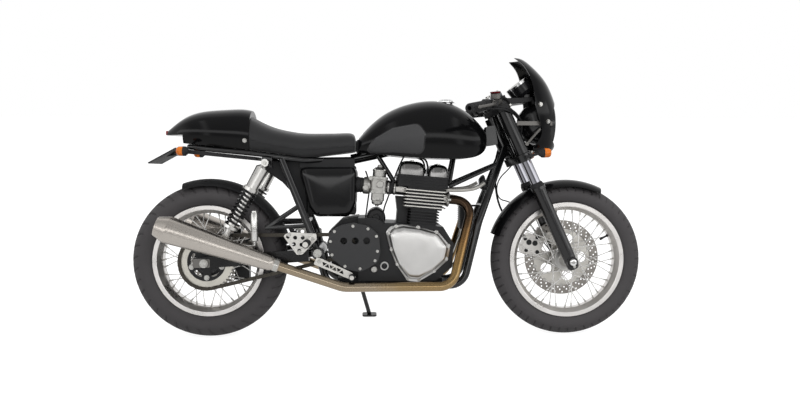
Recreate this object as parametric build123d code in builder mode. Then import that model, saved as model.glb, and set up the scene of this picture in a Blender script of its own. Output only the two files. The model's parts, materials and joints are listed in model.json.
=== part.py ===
from build123d import *
from math import cos, radians, sin, tan
import os

# Cafe racer motorcycle, millimetres, X forward, Y to the left, Z up.
# All pieces are drawn upright on the mid plane and leaned on the side stand at the end.

# Stance
WHEELBASE = 1490.0
LEAN = 10.0
RAKE = 24.5
FORK_OFFSET = 42.0
GAP = 0.3
FRONT_X = WHEELBASE / 2
REAR_X = -WHEELBASE / 2


def station(x):
    """Place on the chassis, drawn for a wheelbase of 1490 and stretched from rear axle to steering head."""
    return REAR_X + (x + 745) * (WHEELBASE - 300) / 1190


def stations(rows):
    """Rows or corners that start with a place on the chassis."""
    return [(station(row[0]), *row[1:]) for row in rows]


# Wheels: tyre radius, tyre width, bead seat radius, rim half width over the flanges
FRONT_TYRE = 317.0
FRONT_WIDTH = 100.0
FRONT_BEAD = 228.6
FRONT_RIM_HALF = 40.0
REAR_TYRE = 319.0
REAR_WIDTH = 130.0
REAR_BEAD = 215.9
REAR_RIM_HALF = 53.0
CROWN_RATIO = 0.53
FLANGE = 13.0
RIM_DEPTH = 20.0
SPOKES = 40
SPOKE_R = 1.9
AXLE_R = 10.0
FRONT_DISC_R = 160.0
REAR_DISC_R = 127.0
DISC_T = 5.0

# Fork, measured along the leg from the axle
LEG_Y = 98.0
TUBE_R = 20.5
SLIDER_R = 27.0
SLIDER_TOP = 338.0
LOWER_YOKE = 455.0
LOWER_YOKE_T = 32.0
TOP_YOKE = 678.0
TOP_YOKE_T = 22.0
BAR_AT = TOP_YOKE + TOP_YOKE_T + 18
FORK_TOP = BAR_AT + 34
STEM_R = 15.0
HEAD_R = 29.0
HEAD_GAP = 6.0
BAR_R = 11.0
GRIP_R = 16.5
BAR_BORE = 8.0
BAR_BORE_LONG = 30.0

# Final drive on the right
CHAIN_Y = -84.0
CHAIN_W = 20.0
CHAIN_SLOT = 12.0
CHAIN_HALF = 7.5
CHAIN_PITCH = 15.875
TEETH_REAR = 43
TEETH_FRONT = 18
SPROCKET_T = 7.0
GEARBOX_X = station(-195)
GEARBOX_Z = 385.0

# Frame and swingarm
FRAME_R = 15.0
RAIL_R = 11.0
SPINE_R = 21.0
CRADLE_Y = 96.0
CRADLE_REAR_Y = 118.0
CRADLE_Z = 222.0
CRADLE_FRONT = station(300)
CRADLE_BACK = station(-250)
PIVOT_X = station(-292)
PIVOT_Z = 360.0
POST_Y = 128.0
ARM_IN = 100.0
ARM_OUT = 128.0

# Engine
CASE_HALF = 115.0
GEARBOX_HALF = 66.0
SUMP_HALF = 75.0
DECK_X = station(132)
DECK_Z = 470.0
TILT = 5.0
CYL_LONG = 72.0
BARREL_LONG = 52.0
CYL_HALF = 116.0
FIN_OUT = 12.0
BARREL_H = 64.0
HEAD_H = 136.0
COVER_H = 46.0
PORT_Y = 62.0
PORT_UP = 112.0
PORT_FACE = CYL_LONG + FIN_OUT + 8
INLET_FACE = PORT_FACE + 28
INLET_UP = PORT_UP + 28
PIPE_R = 19.0

# Bodywork
COWL_FRONT = station(-566)
COWL_FLOOR = 775.0
COWL_RISE = 0.0993
SEAT_LOW_X = station(-344)
SEAT_LOW_Z = 745.0
BOX_HALF = 70.0
TUNNEL = 30.0
BOX_TOP = 712.0
SIDE_T = 52.0
COVER_T = 36.0
DRIVE_COVER_T = 31.0

SIN_R = sin(radians(RAKE))
COS_R = cos(radians(RAKE))
SIN_L = sin(radians(LEAN))
COS_L = cos(radians(LEAN))
SIN_T = sin(radians(TILT))
COS_T = cos(radians(TILT))


def axle_height(radius, width):
    """Height of an axle over the ground line once the rounded crown rests leaned on it."""
    return radius + CROWN_RATIO * width * (1 / COS_L - 1)


FRONT_Z = axle_height(FRONT_TYRE, FRONT_WIDTH)
REAR_Z = axle_height(REAR_TYRE, REAR_WIDTH)
FRONT_AXLE = (FRONT_X, 0, FRONT_Z)
REAR_AXLE = (REAR_X, 0, REAR_Z)
PITCH_REAR = CHAIN_PITCH / (2 * sin(radians(180 / TEETH_REAR)))
PITCH_FRONT = CHAIN_PITCH / (2 * sin(radians(180 / TEETH_FRONT)))


def on_fork(along, side=0.0, ahead=0.0):
    """Point at a distance along the leg line, to one side and ahead of it."""
    return (FRONT_X - along * SIN_R + ahead * COS_R, side, FRONT_Z + along * COS_R + ahead * SIN_R)


def fork_plane(along, side=0.0):
    """Plane square to the fork leg, its x ahead and its y to the left."""
    return Plane(origin=on_fork(along, side), x_dir=(COS_R, 0, SIN_R), z_dir=(-SIN_R, 0, COS_R))


def on_engine(x, y, up):
    """Point in the tilted frame of the cylinders, measured from the crankcase deck."""
    return (DECK_X + x * COS_T + up * SIN_T, y, DECK_Z - x * SIN_T + up * COS_T)


def engine_plane(up):
    """Plane square to the cylinders at a height over the deck."""
    return Plane(origin=on_engine(0, 0, up), x_dir=(COS_T, 0, -SIN_T), z_dir=(SIN_T, 0, COS_T))


def side_plane(y):
    """Upright plane at y with its x forward, its y up and its normal to the right."""
    return Plane(origin=(0, y, 0), x_dir=(1, 0, 0), z_dir=(0, -1, 0))


def turned(centre, outline):
    """Ring about the Y line through centre from (y, radius) corners."""
    with BuildPart() as piece:
        with BuildSketch(Plane(origin=centre, x_dir=(0, 1, 0), z_dir=(1, 0, 0))):
            Polygon(*outline, align=None)
        revolve(axis=Axis(centre, (0, 1, 0)))
    return piece.part


def spun(start, end, outline):
    """Solid about the line from start to end from (distance, radius) corners on the line."""
    along = (Vector(*end) - Vector(*start)).normalized()
    with BuildPart() as piece:
        with BuildSketch(Plane(origin=start, x_dir=along, z_dir=along.cross(Vector(0, 0, 1)))):
            Polygon(*outline, align=None)
        revolve(axis=Axis(start, along))
    return piece.part


def rod(start, end, radius):
    """Round bar between two points."""
    span = Vector(*end) - Vector(*start)
    with BuildPart() as piece:
        with BuildSketch(Plane(origin=start, z_dir=span)):
            Circle(radius)
        extrude(amount=span.length)
    return piece.part


def bent_tube(points, bends, radius):
    """Round bar along straight runs with bends of the given radii."""
    with BuildPart() as piece:
        with BuildLine() as path:
            FilletPolyline(*points, radius=bends)
        with BuildSketch(Plane(origin=path.line @ 0, z_dir=path.line % 0)):
            Circle(radius)
        sweep()
    return piece.part


def slab(outline, y_start, y_end, bend=0.0):
    """Upright plate between two y values from (x, z) corners, corners rounded by bend."""
    with BuildPart() as piece:
        with BuildSketch(side_plane(y_end)) as sketch:
            Polygon(*outline, align=None)
            if bend:
                fillet(sketch.vertices(), bend)
        extrude(amount=y_end - y_start)
    return piece.part


def block(x_range, y_range, z_range):
    """Box from its ranges."""
    with BuildPart() as piece:
        with Locations(((sum(x_range)) / 2, (sum(y_range)) / 2, (sum(z_range)) / 2)):
            Box(x_range[1] - x_range[0], y_range[1] - y_range[0], z_range[1] - z_range[0])
    return piece.part


def bodywork(rows, grow=0.0, ruled=False):
    """Loft along X through rows of x, floor, top and half width, swollen by grow."""
    with BuildPart() as piece:
        for x, floor, top, half in rows:
            tall = top - floor
            low = (0.84 * half + grow, floor)
            wide = (half + grow, floor + 0.42 * tall)
            shoulder = (0.64 * half + grow, floor + 0.87 * tall + grow)
            with BuildSketch(Plane(origin=(x, 0, 0), x_dir=(0, 1, 0), z_dir=(1, 0, 0))):
                with BuildLine():
                    Line((-low[0], low[1]), low)
                    ThreePointArc(low, wide, shoulder)
                    ThreePointArc(shoulder, (0, top + grow), (-shoulder[0], shoulder[1]))
                    ThreePointArc((-shoulder[0], shoulder[1]), (-wide[0], wide[1]), (-low[0], low[1]))
                make_face()
        loft(ruled=ruled)
    return piece.part


def tyre(centre, radius, width, bead, rim_half):
    """Tyre with a round crown and bulged walls, seated between the rim flanges."""
    crown = CROWN_RATIO * width
    edge = 0.475 * width
    shoulder = radius - crown + (crown * crown - edge * edge) ** 0.5
    foot = rim_half - 5 - GAP
    wall = (width / 2, 0.62 * shoulder + 0.38 * (bead + FLANGE))
    with BuildPart() as piece:
        with BuildSketch(Plane(origin=centre, x_dir=(0, 1, 0), z_dir=(1, 0, 0))):
            with BuildLine():
                Line((-foot, bead + GAP), (foot, bead + GAP))
                Line((foot, bead + GAP), (foot, bead + FLANGE))
                ThreePointArc((foot, bead + FLANGE), wall, (edge, shoulder))
                ThreePointArc((edge, shoulder), (0, radius), (-edge, shoulder))
                ThreePointArc((-edge, shoulder), (-wall[0], wall[1]), (-foot, bead + FLANGE))
                Line((-foot, bead + FLANGE), (-foot, bead + GAP))
            make_face()
        revolve(axis=Axis(centre, (0, 1, 0)))
    return piece.part


def rim(centre, bead, half):
    """Flanged rim with a dropped well."""
    well = bead - RIM_DEPTH
    return turned(centre, [
        (-half, bead + FLANGE), (-half + 5, bead + FLANGE), (-half + 5, bead), (half - 5, bead),
        (half - 5, bead + FLANGE), (half, bead + FLANGE), (half, bead - 5), (0.45 * half, well),
        (-0.45 * half, well), (-half, bead - 5)])


def spokes(centre, bead, hub_r, hub_y):
    """Crossed wire spokes between hub flanges and rim well, as separate rods."""
    rods = []
    for i in range(SPOKES):
        side = 1 if i % 2 else -1
        lead = 1 if (i // 2) % 2 else -1
        rim_a = radians(360 * i / SPOKES)
        hub_a = rim_a + lead * radians(52)
        hub_at = hub_r + SPOKE_R + GAP
        rim_at = bead - RIM_DEPTH - SPOKE_R / 2
        y_hub = side * (hub_y + 5 * lead)
        y_rim = side * (8 + 2.5 * lead)
        start = (centre[0] + hub_at * cos(hub_a), y_hub, centre[2] + hub_at * sin(hub_a))
        end = (centre[0] + rim_at * cos(rim_a), y_rim, centre[2] + rim_at * sin(rim_a))
        rods.append(rod(start, end, SPOKE_R))
    return rods


# Rear wheel
rear_tyre = tyre(REAR_AXLE, REAR_TYRE, REAR_WIDTH, REAR_BEAD, REAR_RIM_HALF)
rear_rim = rim(REAR_AXLE, REAR_BEAD, REAR_RIM_HALF)
REAR_HUB_R = 62.0
REAR_HUB_Y = 40.0
SPROCKET_IN = CHAIN_Y + SPROCKET_T / 2
REAR_DISC_Y = 78.0
rear_hub = turned(REAR_AXLE, [
    (SPROCKET_IN, AXLE_R + 0.5), (SPROCKET_IN, 48), (-REAR_HUB_Y - 4, 52), (-REAR_HUB_Y - 4, REAR_HUB_R),
    (-REAR_HUB_Y + 4, REAR_HUB_R), (-REAR_HUB_Y + 8, 42), (REAR_HUB_Y - 8, 42), (REAR_HUB_Y - 4, REAR_HUB_R),
    (REAR_HUB_Y + 4, REAR_HUB_R), (REAR_HUB_Y + 4, 46), (REAR_DISC_Y, 44), (REAR_DISC_Y, AXLE_R + 0.5)])
with BuildPart() as rear_spokes:
    add(spokes(REAR_AXLE, REAR_BEAD, REAR_HUB_R, REAR_HUB_Y))

with BuildPart() as rear_sprocket:
    with BuildSketch(side_plane(CHAIN_Y + SPROCKET_T / 2)):
        with Locations((REAR_X, REAR_Z)):
            Circle(PITCH_REAR + 4)
            Circle(AXLE_R + 8, mode=Mode.SUBTRACT)
            with PolarLocations(66, 5):
                Circle(20, mode=Mode.SUBTRACT)
    extrude(amount=SPROCKET_T)

with BuildPart() as rear_disc:
    with BuildSketch(side_plane(REAR_DISC_Y + DISC_T)):
        with Locations((REAR_X, REAR_Z)):
            Circle(REAR_DISC_R)
            Circle(AXLE_R + 8, mode=Mode.SUBTRACT)
            with PolarLocations(68, 6):
                Circle(15, mode=Mode.SUBTRACT)
    extrude(amount=DISC_T)

# Front wheel
front_tyre = tyre(FRONT_AXLE, FRONT_TYRE, FRONT_WIDTH, FRONT_BEAD, FRONT_RIM_HALF)
front_rim = rim(FRONT_AXLE, FRONT_BEAD, FRONT_RIM_HALF)
FRONT_HUB_R = 50.0
FRONT_HUB_Y = 28.0
FRONT_DISC_Y = 50.0
LEG_IN = LEG_Y - SLIDER_R
LEG_OUT = LEG_Y + SLIDER_R + 1
front_hub = turned(FRONT_AXLE, [
    (-LEG_IN + 6, AXLE_R + 0.5), (-LEG_IN + 6, 22), (-FRONT_HUB_Y - 4, 32), (-FRONT_HUB_Y - 4, FRONT_HUB_R),
    (-FRONT_HUB_Y + 4, FRONT_HUB_R), (-FRONT_HUB_Y + 8, 28), (FRONT_HUB_Y - 8, 28),
    (FRONT_HUB_Y - 4, FRONT_HUB_R), (FRONT_HUB_Y + 4, FRONT_HUB_R), (FRONT_HUB_Y + 4, 44),
    (FRONT_DISC_Y, 44), (FRONT_DISC_Y, AXLE_R + 0.5)])
with BuildPart() as front_spokes:
    add(spokes(FRONT_AXLE, FRONT_BEAD, FRONT_HUB_R, FRONT_HUB_Y))

with BuildPart() as front_disc:
    with BuildSketch(side_plane(FRONT_DISC_Y + DISC_T)):
        with Locations((FRONT_X, FRONT_Z)):
            Circle(FRONT_DISC_R)
            Circle(AXLE_R + 10, mode=Mode.SUBTRACT)
            with PolarLocations(82, 5):
                Circle(24, mode=Mode.SUBTRACT)
    extrude(amount=DISC_T)

# Fork
with BuildPart() as fork_sliders:
    add(spun(on_fork(0, -LEG_Y), on_fork(1, -LEG_Y), [
        (-34, 0), (-34, 18), (-26, 24), (60, SLIDER_R), (SLIDER_TOP - 14, SLIDER_R), (SLIDER_TOP - 14, 30),
        (SLIDER_TOP, 30), (SLIDER_TOP, 0)]))
    add(rod((FRONT_X, -LEG_OUT, FRONT_Z), (FRONT_X, -LEG_IN, FRONT_Z), 22))
    mirror(about=Plane.XZ)
    add(rod((FRONT_X, -200, FRONT_Z), (FRONT_X, 200, FRONT_Z), AXLE_R + GAP), mode=Mode.SUBTRACT)

with BuildPart() as front_axle:
    add(rod((FRONT_X, -LEG_OUT, FRONT_Z), (FRONT_X, LEG_OUT, FRONT_Z), AXLE_R))
    add(rod((FRONT_X, -LEG_OUT - 9, FRONT_Z), (FRONT_X, -LEG_OUT, FRONT_Z), 14))
    add(rod((FRONT_X, LEG_OUT, FRONT_Z), (FRONT_X, LEG_OUT + 9, FRONT_Z), 14))

with BuildPart() as fork_tubes:
    add(rod(on_fork(SLIDER_TOP, -LEG_Y), on_fork(FORK_TOP, -LEG_Y), TUBE_R))
    mirror(about=Plane.XZ)

with BuildPart() as fork_covers:
    with BuildSketch(fork_plane(LOWER_YOKE + LOWER_YOKE_T, -LEG_Y)):
        Circle(26)
        Circle(TUBE_R + GAP, mode=Mode.SUBTRACT)
    extrude(amount=TOP_YOKE - LOWER_YOKE - LOWER_YOKE_T)
    mirror(about=Plane.XZ)


def yoke(along, thick, reach):
    """Clamp plate that joins the two legs and the stem, bored for the tubes."""
    with BuildPart() as piece:
        with BuildSketch(fork_plane(along)):
            with Locations((0, -LEG_Y), (0, LEG_Y)):
                Circle(reach)
            with Locations((-FORK_OFFSET, 0)):
                Circle(STEM_R + 9)
            make_hull()
        extrude(amount=thick)
        with BuildSketch(fork_plane(along)):
            with Locations((0, -LEG_Y), (0, LEG_Y)):
                Circle(TUBE_R + GAP)
        extrude(amount=thick, mode=Mode.SUBTRACT)
    return piece.part


with BuildPart() as lower_yoke:
    add(yoke(LOWER_YOKE, LOWER_YOKE_T, 33))
    add(rod(on_fork(LOWER_YOKE, 0, -FORK_OFFSET), on_fork(TOP_YOKE, 0, -FORK_OFFSET), STEM_R))

with BuildPart() as top_yoke:
    add(yoke(TOP_YOKE, TOP_YOKE_T, 30))
    add(rod(on_fork(TOP_YOKE, 0, -FORK_OFFSET), on_fork(TOP_YOKE + TOP_YOKE_T + 10, 0, -FORK_OFFSET), 17))

BAR_ROOT = on_fork(BAR_AT, -LEG_Y)
BAR_END = (BAR_ROOT[0] - 158, -340, BAR_ROOT[2] - 48)
BAR_DIR = (Vector(*BAR_END) - Vector(*BAR_ROOT)).normalized()
BAR_LONG = (Vector(*BAR_END) - Vector(*BAR_ROOT)).length
with BuildPart() as clip_ons:
    add(rod(on_fork(BAR_AT - 18, -LEG_Y), on_fork(BAR_AT + 18, -LEG_Y), 29))
    add(spun(BAR_ROOT, BAR_END, [
        (24, 0), (24, BAR_R), (BAR_LONG - 135, BAR_R), (BAR_LONG - 135, 20), (BAR_LONG - 130, 20),
        (BAR_LONG - 130, GRIP_R), (BAR_LONG - 8, GRIP_R), (BAR_LONG - 8, 19), (BAR_LONG, 17),
        (BAR_LONG, BAR_BORE), (BAR_LONG - BAR_BORE_LONG, BAR_BORE), (BAR_LONG - BAR_BORE_LONG, 0)]))
    add(rod(on_fork(BAR_AT - 20, -LEG_Y), on_fork(BAR_AT + 20, -LEG_Y), TUBE_R + GAP), mode=Mode.SUBTRACT)
    mirror(about=Plane.XZ)

# Headlamp, nose fairing and instruments
LAMP_Z = 885.0
LAMP_R = 90.0
LAMP_FRONT = FRONT_X - 60
LAMP_BACK = LAMP_FRONT - 130
headlamp_shell = spun((LAMP_BACK, 0, LAMP_Z), (LAMP_FRONT, 0, LAMP_Z), [
    (0, 0), (0, 40), (22, 68), (60, 86), (95, LAMP_R - 3), (130, LAMP_R - 3), (130, 0)])
headlamp_lens = spun((LAMP_FRONT, 0, LAMP_Z), (LAMP_FRONT + 10, 0, LAMP_Z), [
    (0, 0), (0, LAMP_R), (6, LAMP_R - 4), (9, 60), (12, 0)])

FAIRING_WALL = 4.0
FAIRING_ROWS = [
    # height, front, rear edge, half width
    (768, -74, -146, 84), (822, -48, -134, 104), (880, -40, -132, 114), (930, -41, -150, 120),
    (985, -56, -158, 118), (1040, -79, -166, 110), (1092, -116, -182, 95), (1135, -160, -210, 74),
    (1155, -190, -232, 58)]


def fairing_loft(rows, shrink, drop):
    """Loft up through arc sections that bow forward, each closed by a straight back."""
    with BuildPart() as piece:
        for z, front, rear, half in rows:
            nose = (FRONT_X + front - shrink, 0)
            edge = (FRONT_X + rear - drop, half - shrink)
            with BuildSketch(Plane(origin=(0, 0, z))):
                with BuildLine():
                    ThreePointArc((edge[0], -edge[1]), nose, edge)
                    Line(edge, (edge[0], -edge[1]))
                make_face()
        loft()
    return piece.part


with BuildPart() as nose_fairing:
    add(fairing_loft(FAIRING_ROWS, 0, 0))
    open_row = (FAIRING_ROWS[0][0] - 0.01, *FAIRING_ROWS[0][1:])
    add(fairing_loft([open_row, *FAIRING_ROWS[1:]], FAIRING_WALL, 12), mode=Mode.SUBTRACT)
    add(rod((LAMP_BACK - 50, 0, LAMP_Z), (LAMP_FRONT + 60, 0, LAMP_Z), LAMP_R + 5), mode=Mode.SUBTRACT)

with BuildPart() as lamp_brackets:
    add(block((FRONT_X - (LAMP_Z - 9 - FRONT_Z) * tan(radians(RAKE)) + 26 / COS_R + GAP, LAMP_FRONT - 20),
              (LAMP_R - 3 + GAP, LAMP_R + 4), (LAMP_Z - 9, LAMP_Z + 9)))
    mirror(about=Plane.XZ)

GAUGE_DIR = Vector(-0.62, 0, 0.78)
GAUGE_AT = (FRONT_X - 178, 46.0, LAMP_Z + 125)
with BuildPart() as gauges:
    add(spun(GAUGE_AT, tuple(Vector(*GAUGE_AT) + GAUGE_DIR), [
        (0, 0), (0, 28), (14, 40), (52, 40), (52, 0)]))
    mirror(about=Plane.XZ)
    add(block((GAUGE_AT[0] - 12, GAUGE_AT[0] + 12), (-60, 60), (GAUGE_AT[2] - 18, GAUGE_AT[2] - 4)))
    add(rod((GAUGE_AT[0], 0, GAUGE_AT[2] - 10), on_fork(TOP_YOKE + TOP_YOKE_T + 14, 0, 8), 8))
    add(rod(on_fork(TOP_YOKE + TOP_YOKE_T, 0, 8), on_fork(TOP_YOKE + TOP_YOKE_T + 18, 0, 8), 12))

# Mudguards, front brake and indicators
GUARD_HALF = 61.0
REAR_GUARD_HALF = 68.0
GUARD_T = 3.0
GUARD_CLEAR = 16.0
SKIRT = 26.0


def guard(centre, inner, half, start, sweep):
    """Curved mudguard round an axle, from an angle over straight ahead and swept to the rear."""
    a = radians(start)
    with BuildPart() as piece:
        with BuildSketch(Plane(origin=centre, x_dir=(0, 1, 0), z_dir=(sin(a), 0, -cos(a)))):
            with BuildLine():
                ThreePointArc((-half, inner - SKIRT), (0, inner + GUARD_T), (half, inner - SKIRT))
                Line((half, inner - SKIRT), (half - GUARD_T, inner - SKIRT))
                ThreePointArc((half - GUARD_T, inner - SKIRT), (0, inner), (GUARD_T - half, inner - SKIRT))
                Line((GUARD_T - half, inner - SKIRT), (-half, inner - SKIRT))
            make_face()
        revolve(axis=Axis(centre, (0, -1, 0)), revolution_arc=sweep)
    return piece.part


with BuildPart() as front_mudguard:
    add(guard(FRONT_AXLE, FRONT_TYRE + GUARD_CLEAR, GUARD_HALF, 64, 97))
    add(rod(on_fork(SLIDER_TOP - 26, GUARD_HALF - 2), on_fork(SLIDER_TOP - 26, LEG_IN - GAP), 9))
    add(rod(on_fork(SLIDER_TOP - 26, 2 - GUARD_HALF), on_fork(SLIDER_TOP - 26, GAP - LEG_IN), 9))

CROSS_X = station(-340)
CROSS_Z = 484.0
CROSS_R = 12.0
rear_guard_in = REAR_TYRE + GUARD_CLEAR
bracket_x = REAR_X + ((rear_guard_in + 1.5) ** 2 - (CROSS_Z - REAR_Z) ** 2) ** 0.5
with BuildPart() as rear_mudguard:
    add(guard(REAR_AXLE, rear_guard_in, REAR_GUARD_HALF, 12, 97))
    add(rod((bracket_x, 0, CROSS_Z), (CROSS_X - CROSS_R - GAP, 0, CROSS_Z), 8))

CALIPER_A = radians(158)
CALIPER_OUT = LEG_Y - 8


def caliper_plane(y):
    """Disc plane at y, its x along the caliper's radius and its y towards the fork leg."""
    return Plane(origin=(FRONT_X, y, FRONT_Z), x_dir=(cos(CALIPER_A), 0, sin(CALIPER_A)), z_dir=(0, 1, 0))


with BuildPart() as front_caliper:
    with BuildSketch(caliper_plane(FRONT_DISC_Y - 16)):
        Polygon((98, -40), (170, -46), (FRONT_DISC_R + 22, -30), (FRONT_DISC_R + 22, 30), (170, 46), (98, 40),
                align=None)
    extrude(amount=CALIPER_OUT - FRONT_DISC_Y + 16)
    with BuildSketch(caliper_plane(FRONT_DISC_Y - 5)):
        Polygon((60, -80), (FRONT_DISC_R + 6, -80), (FRONT_DISC_R + 6, 80), (60, 80), align=None)
    extrude(amount=DISC_T + 10, mode=Mode.SUBTRACT)
    with BuildSketch(caliper_plane(CALIPER_OUT - 18)):
        Polygon((108, 30), (140, 30), (140, 84), (108, 84), align=None)
    extrude(amount=18)
    add(rod(on_fork(-40, LEG_Y), on_fork(SLIDER_TOP, LEG_Y), SLIDER_R + GAP), mode=Mode.SUBTRACT)

STALK_AT = on_fork(LOWER_YOKE + LOWER_YOKE_T / 2)
with BuildPart() as front_indicators:
    add(rod((STALK_AT[0], LEG_Y + 33 + GAP, STALK_AT[2]), (STALK_AT[0], LEG_Y + 58, STALK_AT[2]), 7))
    add(rod((STALK_AT[0], LEG_Y + 52, STALK_AT[2]), (STALK_AT[0] + 60, LEG_Y + 52, STALK_AT[2] + 14), 6))
    add(spun((STALK_AT[0] + 45, LEG_Y + 52, STALK_AT[2] + 16),
             (STALK_AT[0] + 46, LEG_Y + 52, STALK_AT[2] + 16), [
        (0, 0), (0, 10), (14, 19), (44, 19), (52, 12), (52, 0)]))
    mirror(about=Plane.XZ)

# Frame
HEAD_LOW = LOWER_YOKE + LOWER_YOKE_T + HEAD_GAP
HEAD_TOP = TOP_YOKE - HEAD_GAP
SPINE_START = on_fork(HEAD_LOW + 0.475 * (HEAD_TOP - HEAD_LOW), 0, -FORK_OFFSET)
DOWN_START = on_fork(HEAD_LOW + 0.25 * (HEAD_TOP - HEAD_LOW), 0, -FORK_OFFSET)
COWL_BACK = station(-838)


def cowl_floor(x):
    """Height of the tail's underside."""
    return COWL_FLOOR + (COWL_FRONT - x) * COWL_RISE


def cradle_y(x):
    """Half spread of the cradle rails, which part towards the rear."""
    return CRADLE_Y + (CRADLE_REAR_Y - CRADLE_Y) * (CRADLE_FRONT - x) / (CRADLE_FRONT - CRADLE_BACK)


RAIL_Y = 95.0
RAIL_REAR = station(-822)
SHOCK_TOP = (station(-497), 150.0, 722.0)
SHOCK_LOW = (REAR_X + 90, 150.0, REAR_Z + 108)
EYE_HALF = 12.0
STAND_X = station(-128)
STAND_AT = Vector(STAND_X, cradle_y(STAND_X) + 10, CRADLE_Z - 28)
FOOT_Y = 215.0
STAND_FOOT = Vector(STAND_X + 42, FOOT_Y, FOOT_Y * tan(radians(LEAN)))
STAND_FOLDED = Vector(-0.985, 0.10, 0.06)
STAND_AXIS = (STAND_FOOT - STAND_AT).cross(STAND_FOLDED).normalized()
HANGER_Y = POST_Y + FRAME_R + 1
rail_run = [(station(-150), 18, 738), (SEAT_LOW_X, RAIL_Y, SEAT_LOW_Z - RAIL_R - 0.8),
            (COWL_FRONT + 2, RAIL_Y, cowl_floor(COWL_FRONT + 2) - RAIL_R - 0.8),
            (RAIL_REAR, 70, cowl_floor(RAIL_REAR) - RAIL_R - 0.8)]
rail_back = [(x, -y, z) for x, y, z in reversed(rail_run)]
DOWN_TOP = Vector(DOWN_START[0], 18, DOWN_START[2])
DOWN_KNEE = Vector(station(365), 82, 480)
BRACE_TOP = DOWN_TOP * 0.78 + DOWN_KNEE * 0.22
cradle_run = [tuple(DOWN_TOP), tuple(DOWN_KNEE), (CRADLE_FRONT, CRADLE_Y, CRADLE_Z),
              (CRADLE_BACK, CRADLE_REAR_Y, CRADLE_Z), (station(-318), POST_Y, 440),
              (station(-440), RAIL_Y, 738)]
PEG_X = station(-310)
PEDAL_X = station(-284)
LOOP_AT = (station(-500), 138.0, 462.0)
MOUNT_X = station(384)
COOLER_X = station(294)
COOLER_TOP = 540.0
with BuildPart() as frame:
    add(rod(on_fork(HEAD_LOW, 0, -FORK_OFFSET), on_fork(HEAD_TOP, 0, -FORK_OFFSET), HEAD_R))
    add(bent_tube([SPINE_START, (station(80), 0, 790), (station(-160), 0, 738)], [260], SPINE_R))
    add(bent_tube(cradle_run, [160, 70, 70, 120], FRAME_R))
    add(bent_tube([(x, -y, z) for x, y, z in cradle_run], [160, 70, 70, 120], FRAME_R))
    add(bent_tube(rail_run + rail_back, [70, 120, 45, 45, 120, 70], RAIL_R))
    for side in (-1, 1):
        add(rod((PIVOT_X, side * (ARM_IN + 2), PIVOT_Z), (PIVOT_X, side * (HANGER_Y - 6), PIVOT_Z), 26))
        add(rod((PEG_X, side * (POST_Y - 4), 420), (PEG_X, side * HANGER_Y, 420), 11))
        add(rod((PEDAL_X, side * (POST_Y - 10), 330), (PEDAL_X, side * (HANGER_Y + 10), 330), 9))
        add(rod((LOOP_AT[0], side * LOOP_AT[1], LOOP_AT[2]), (station(-366), side * 117, 552), 8))
        add(rod((LOOP_AT[0], side * LOOP_AT[1], LOOP_AT[2]), (station(-330), side * 125, 470), 8))
        add(rod(on_engine(CYL_LONG + FIN_OUT + 13, side * 84, 166),
                (BRACE_TOP.X, side * BRACE_TOP.Y, BRACE_TOP.Z), 9))
        add(block((SHOCK_TOP[0] - 20, SHOCK_TOP[0] + 20), sorted((side * (RAIL_Y - 8), side * (RAIL_Y + 6))),
                  (SHOCK_TOP[2] - 18, SHOCK_TOP[2] + 30)))
        add(rod((SHOCK_TOP[0], side * RAIL_Y, SHOCK_TOP[2]),
                (SHOCK_TOP[0], side * (SHOCK_TOP[1] - EYE_HALF - GAP), SHOCK_TOP[2]), 9))
        for x in (station(-190), station(190)):
            add(block((x - 22, x + 22), sorted((side * SUMP_HALF, side * cradle_y(x))),
                      (CRADLE_Z - 6, CRADLE_Z + 8)))
    add(rod((CROSS_X, -POST_Y, CROSS_Z), (CROSS_X, POST_Y, CROSS_Z), CROSS_R))
    add(rod((MOUNT_X, -70, 545), (MOUNT_X, 70, 545), 9))
    add(block((COOLER_X - 2, MOUNT_X + 2), (-9, 9), (COOLER_TOP, COOLER_TOP + 8)))
    add(rod((station(300), GAP - TUNNEL, 806), (station(300), TUNNEL - GAP, 806), 10))
    add(block((STAND_X - 18, STAND_X + 18), (cradle_y(STAND_X) - 12, cradle_y(STAND_X) + 2),
              (CRADLE_Z - 42, CRADLE_Z)))
    add(rod(tuple(STAND_AT - STAND_AXIS * 22), tuple(STAND_AT), 14))
    add(rod(on_fork(HEAD_LOW - 1, 0, -FORK_OFFSET), on_fork(HEAD_TOP + 1, 0, -FORK_OFFSET), STEM_R + GAP),
        mode=Mode.SUBTRACT)

# Swingarm, axle and drive
ARM_FRONT = (PIVOT_X - 36, PIVOT_Z - 34)
ARM_BACK = (REAR_X - 42, REAR_Z - 22)


def arm_low(x):
    """Height of the swingarm's underside."""
    return ARM_BACK[1] + (ARM_FRONT[1] - ARM_BACK[1]) * (x - ARM_BACK[0]) / (ARM_FRONT[0] - ARM_BACK[0])


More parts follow.
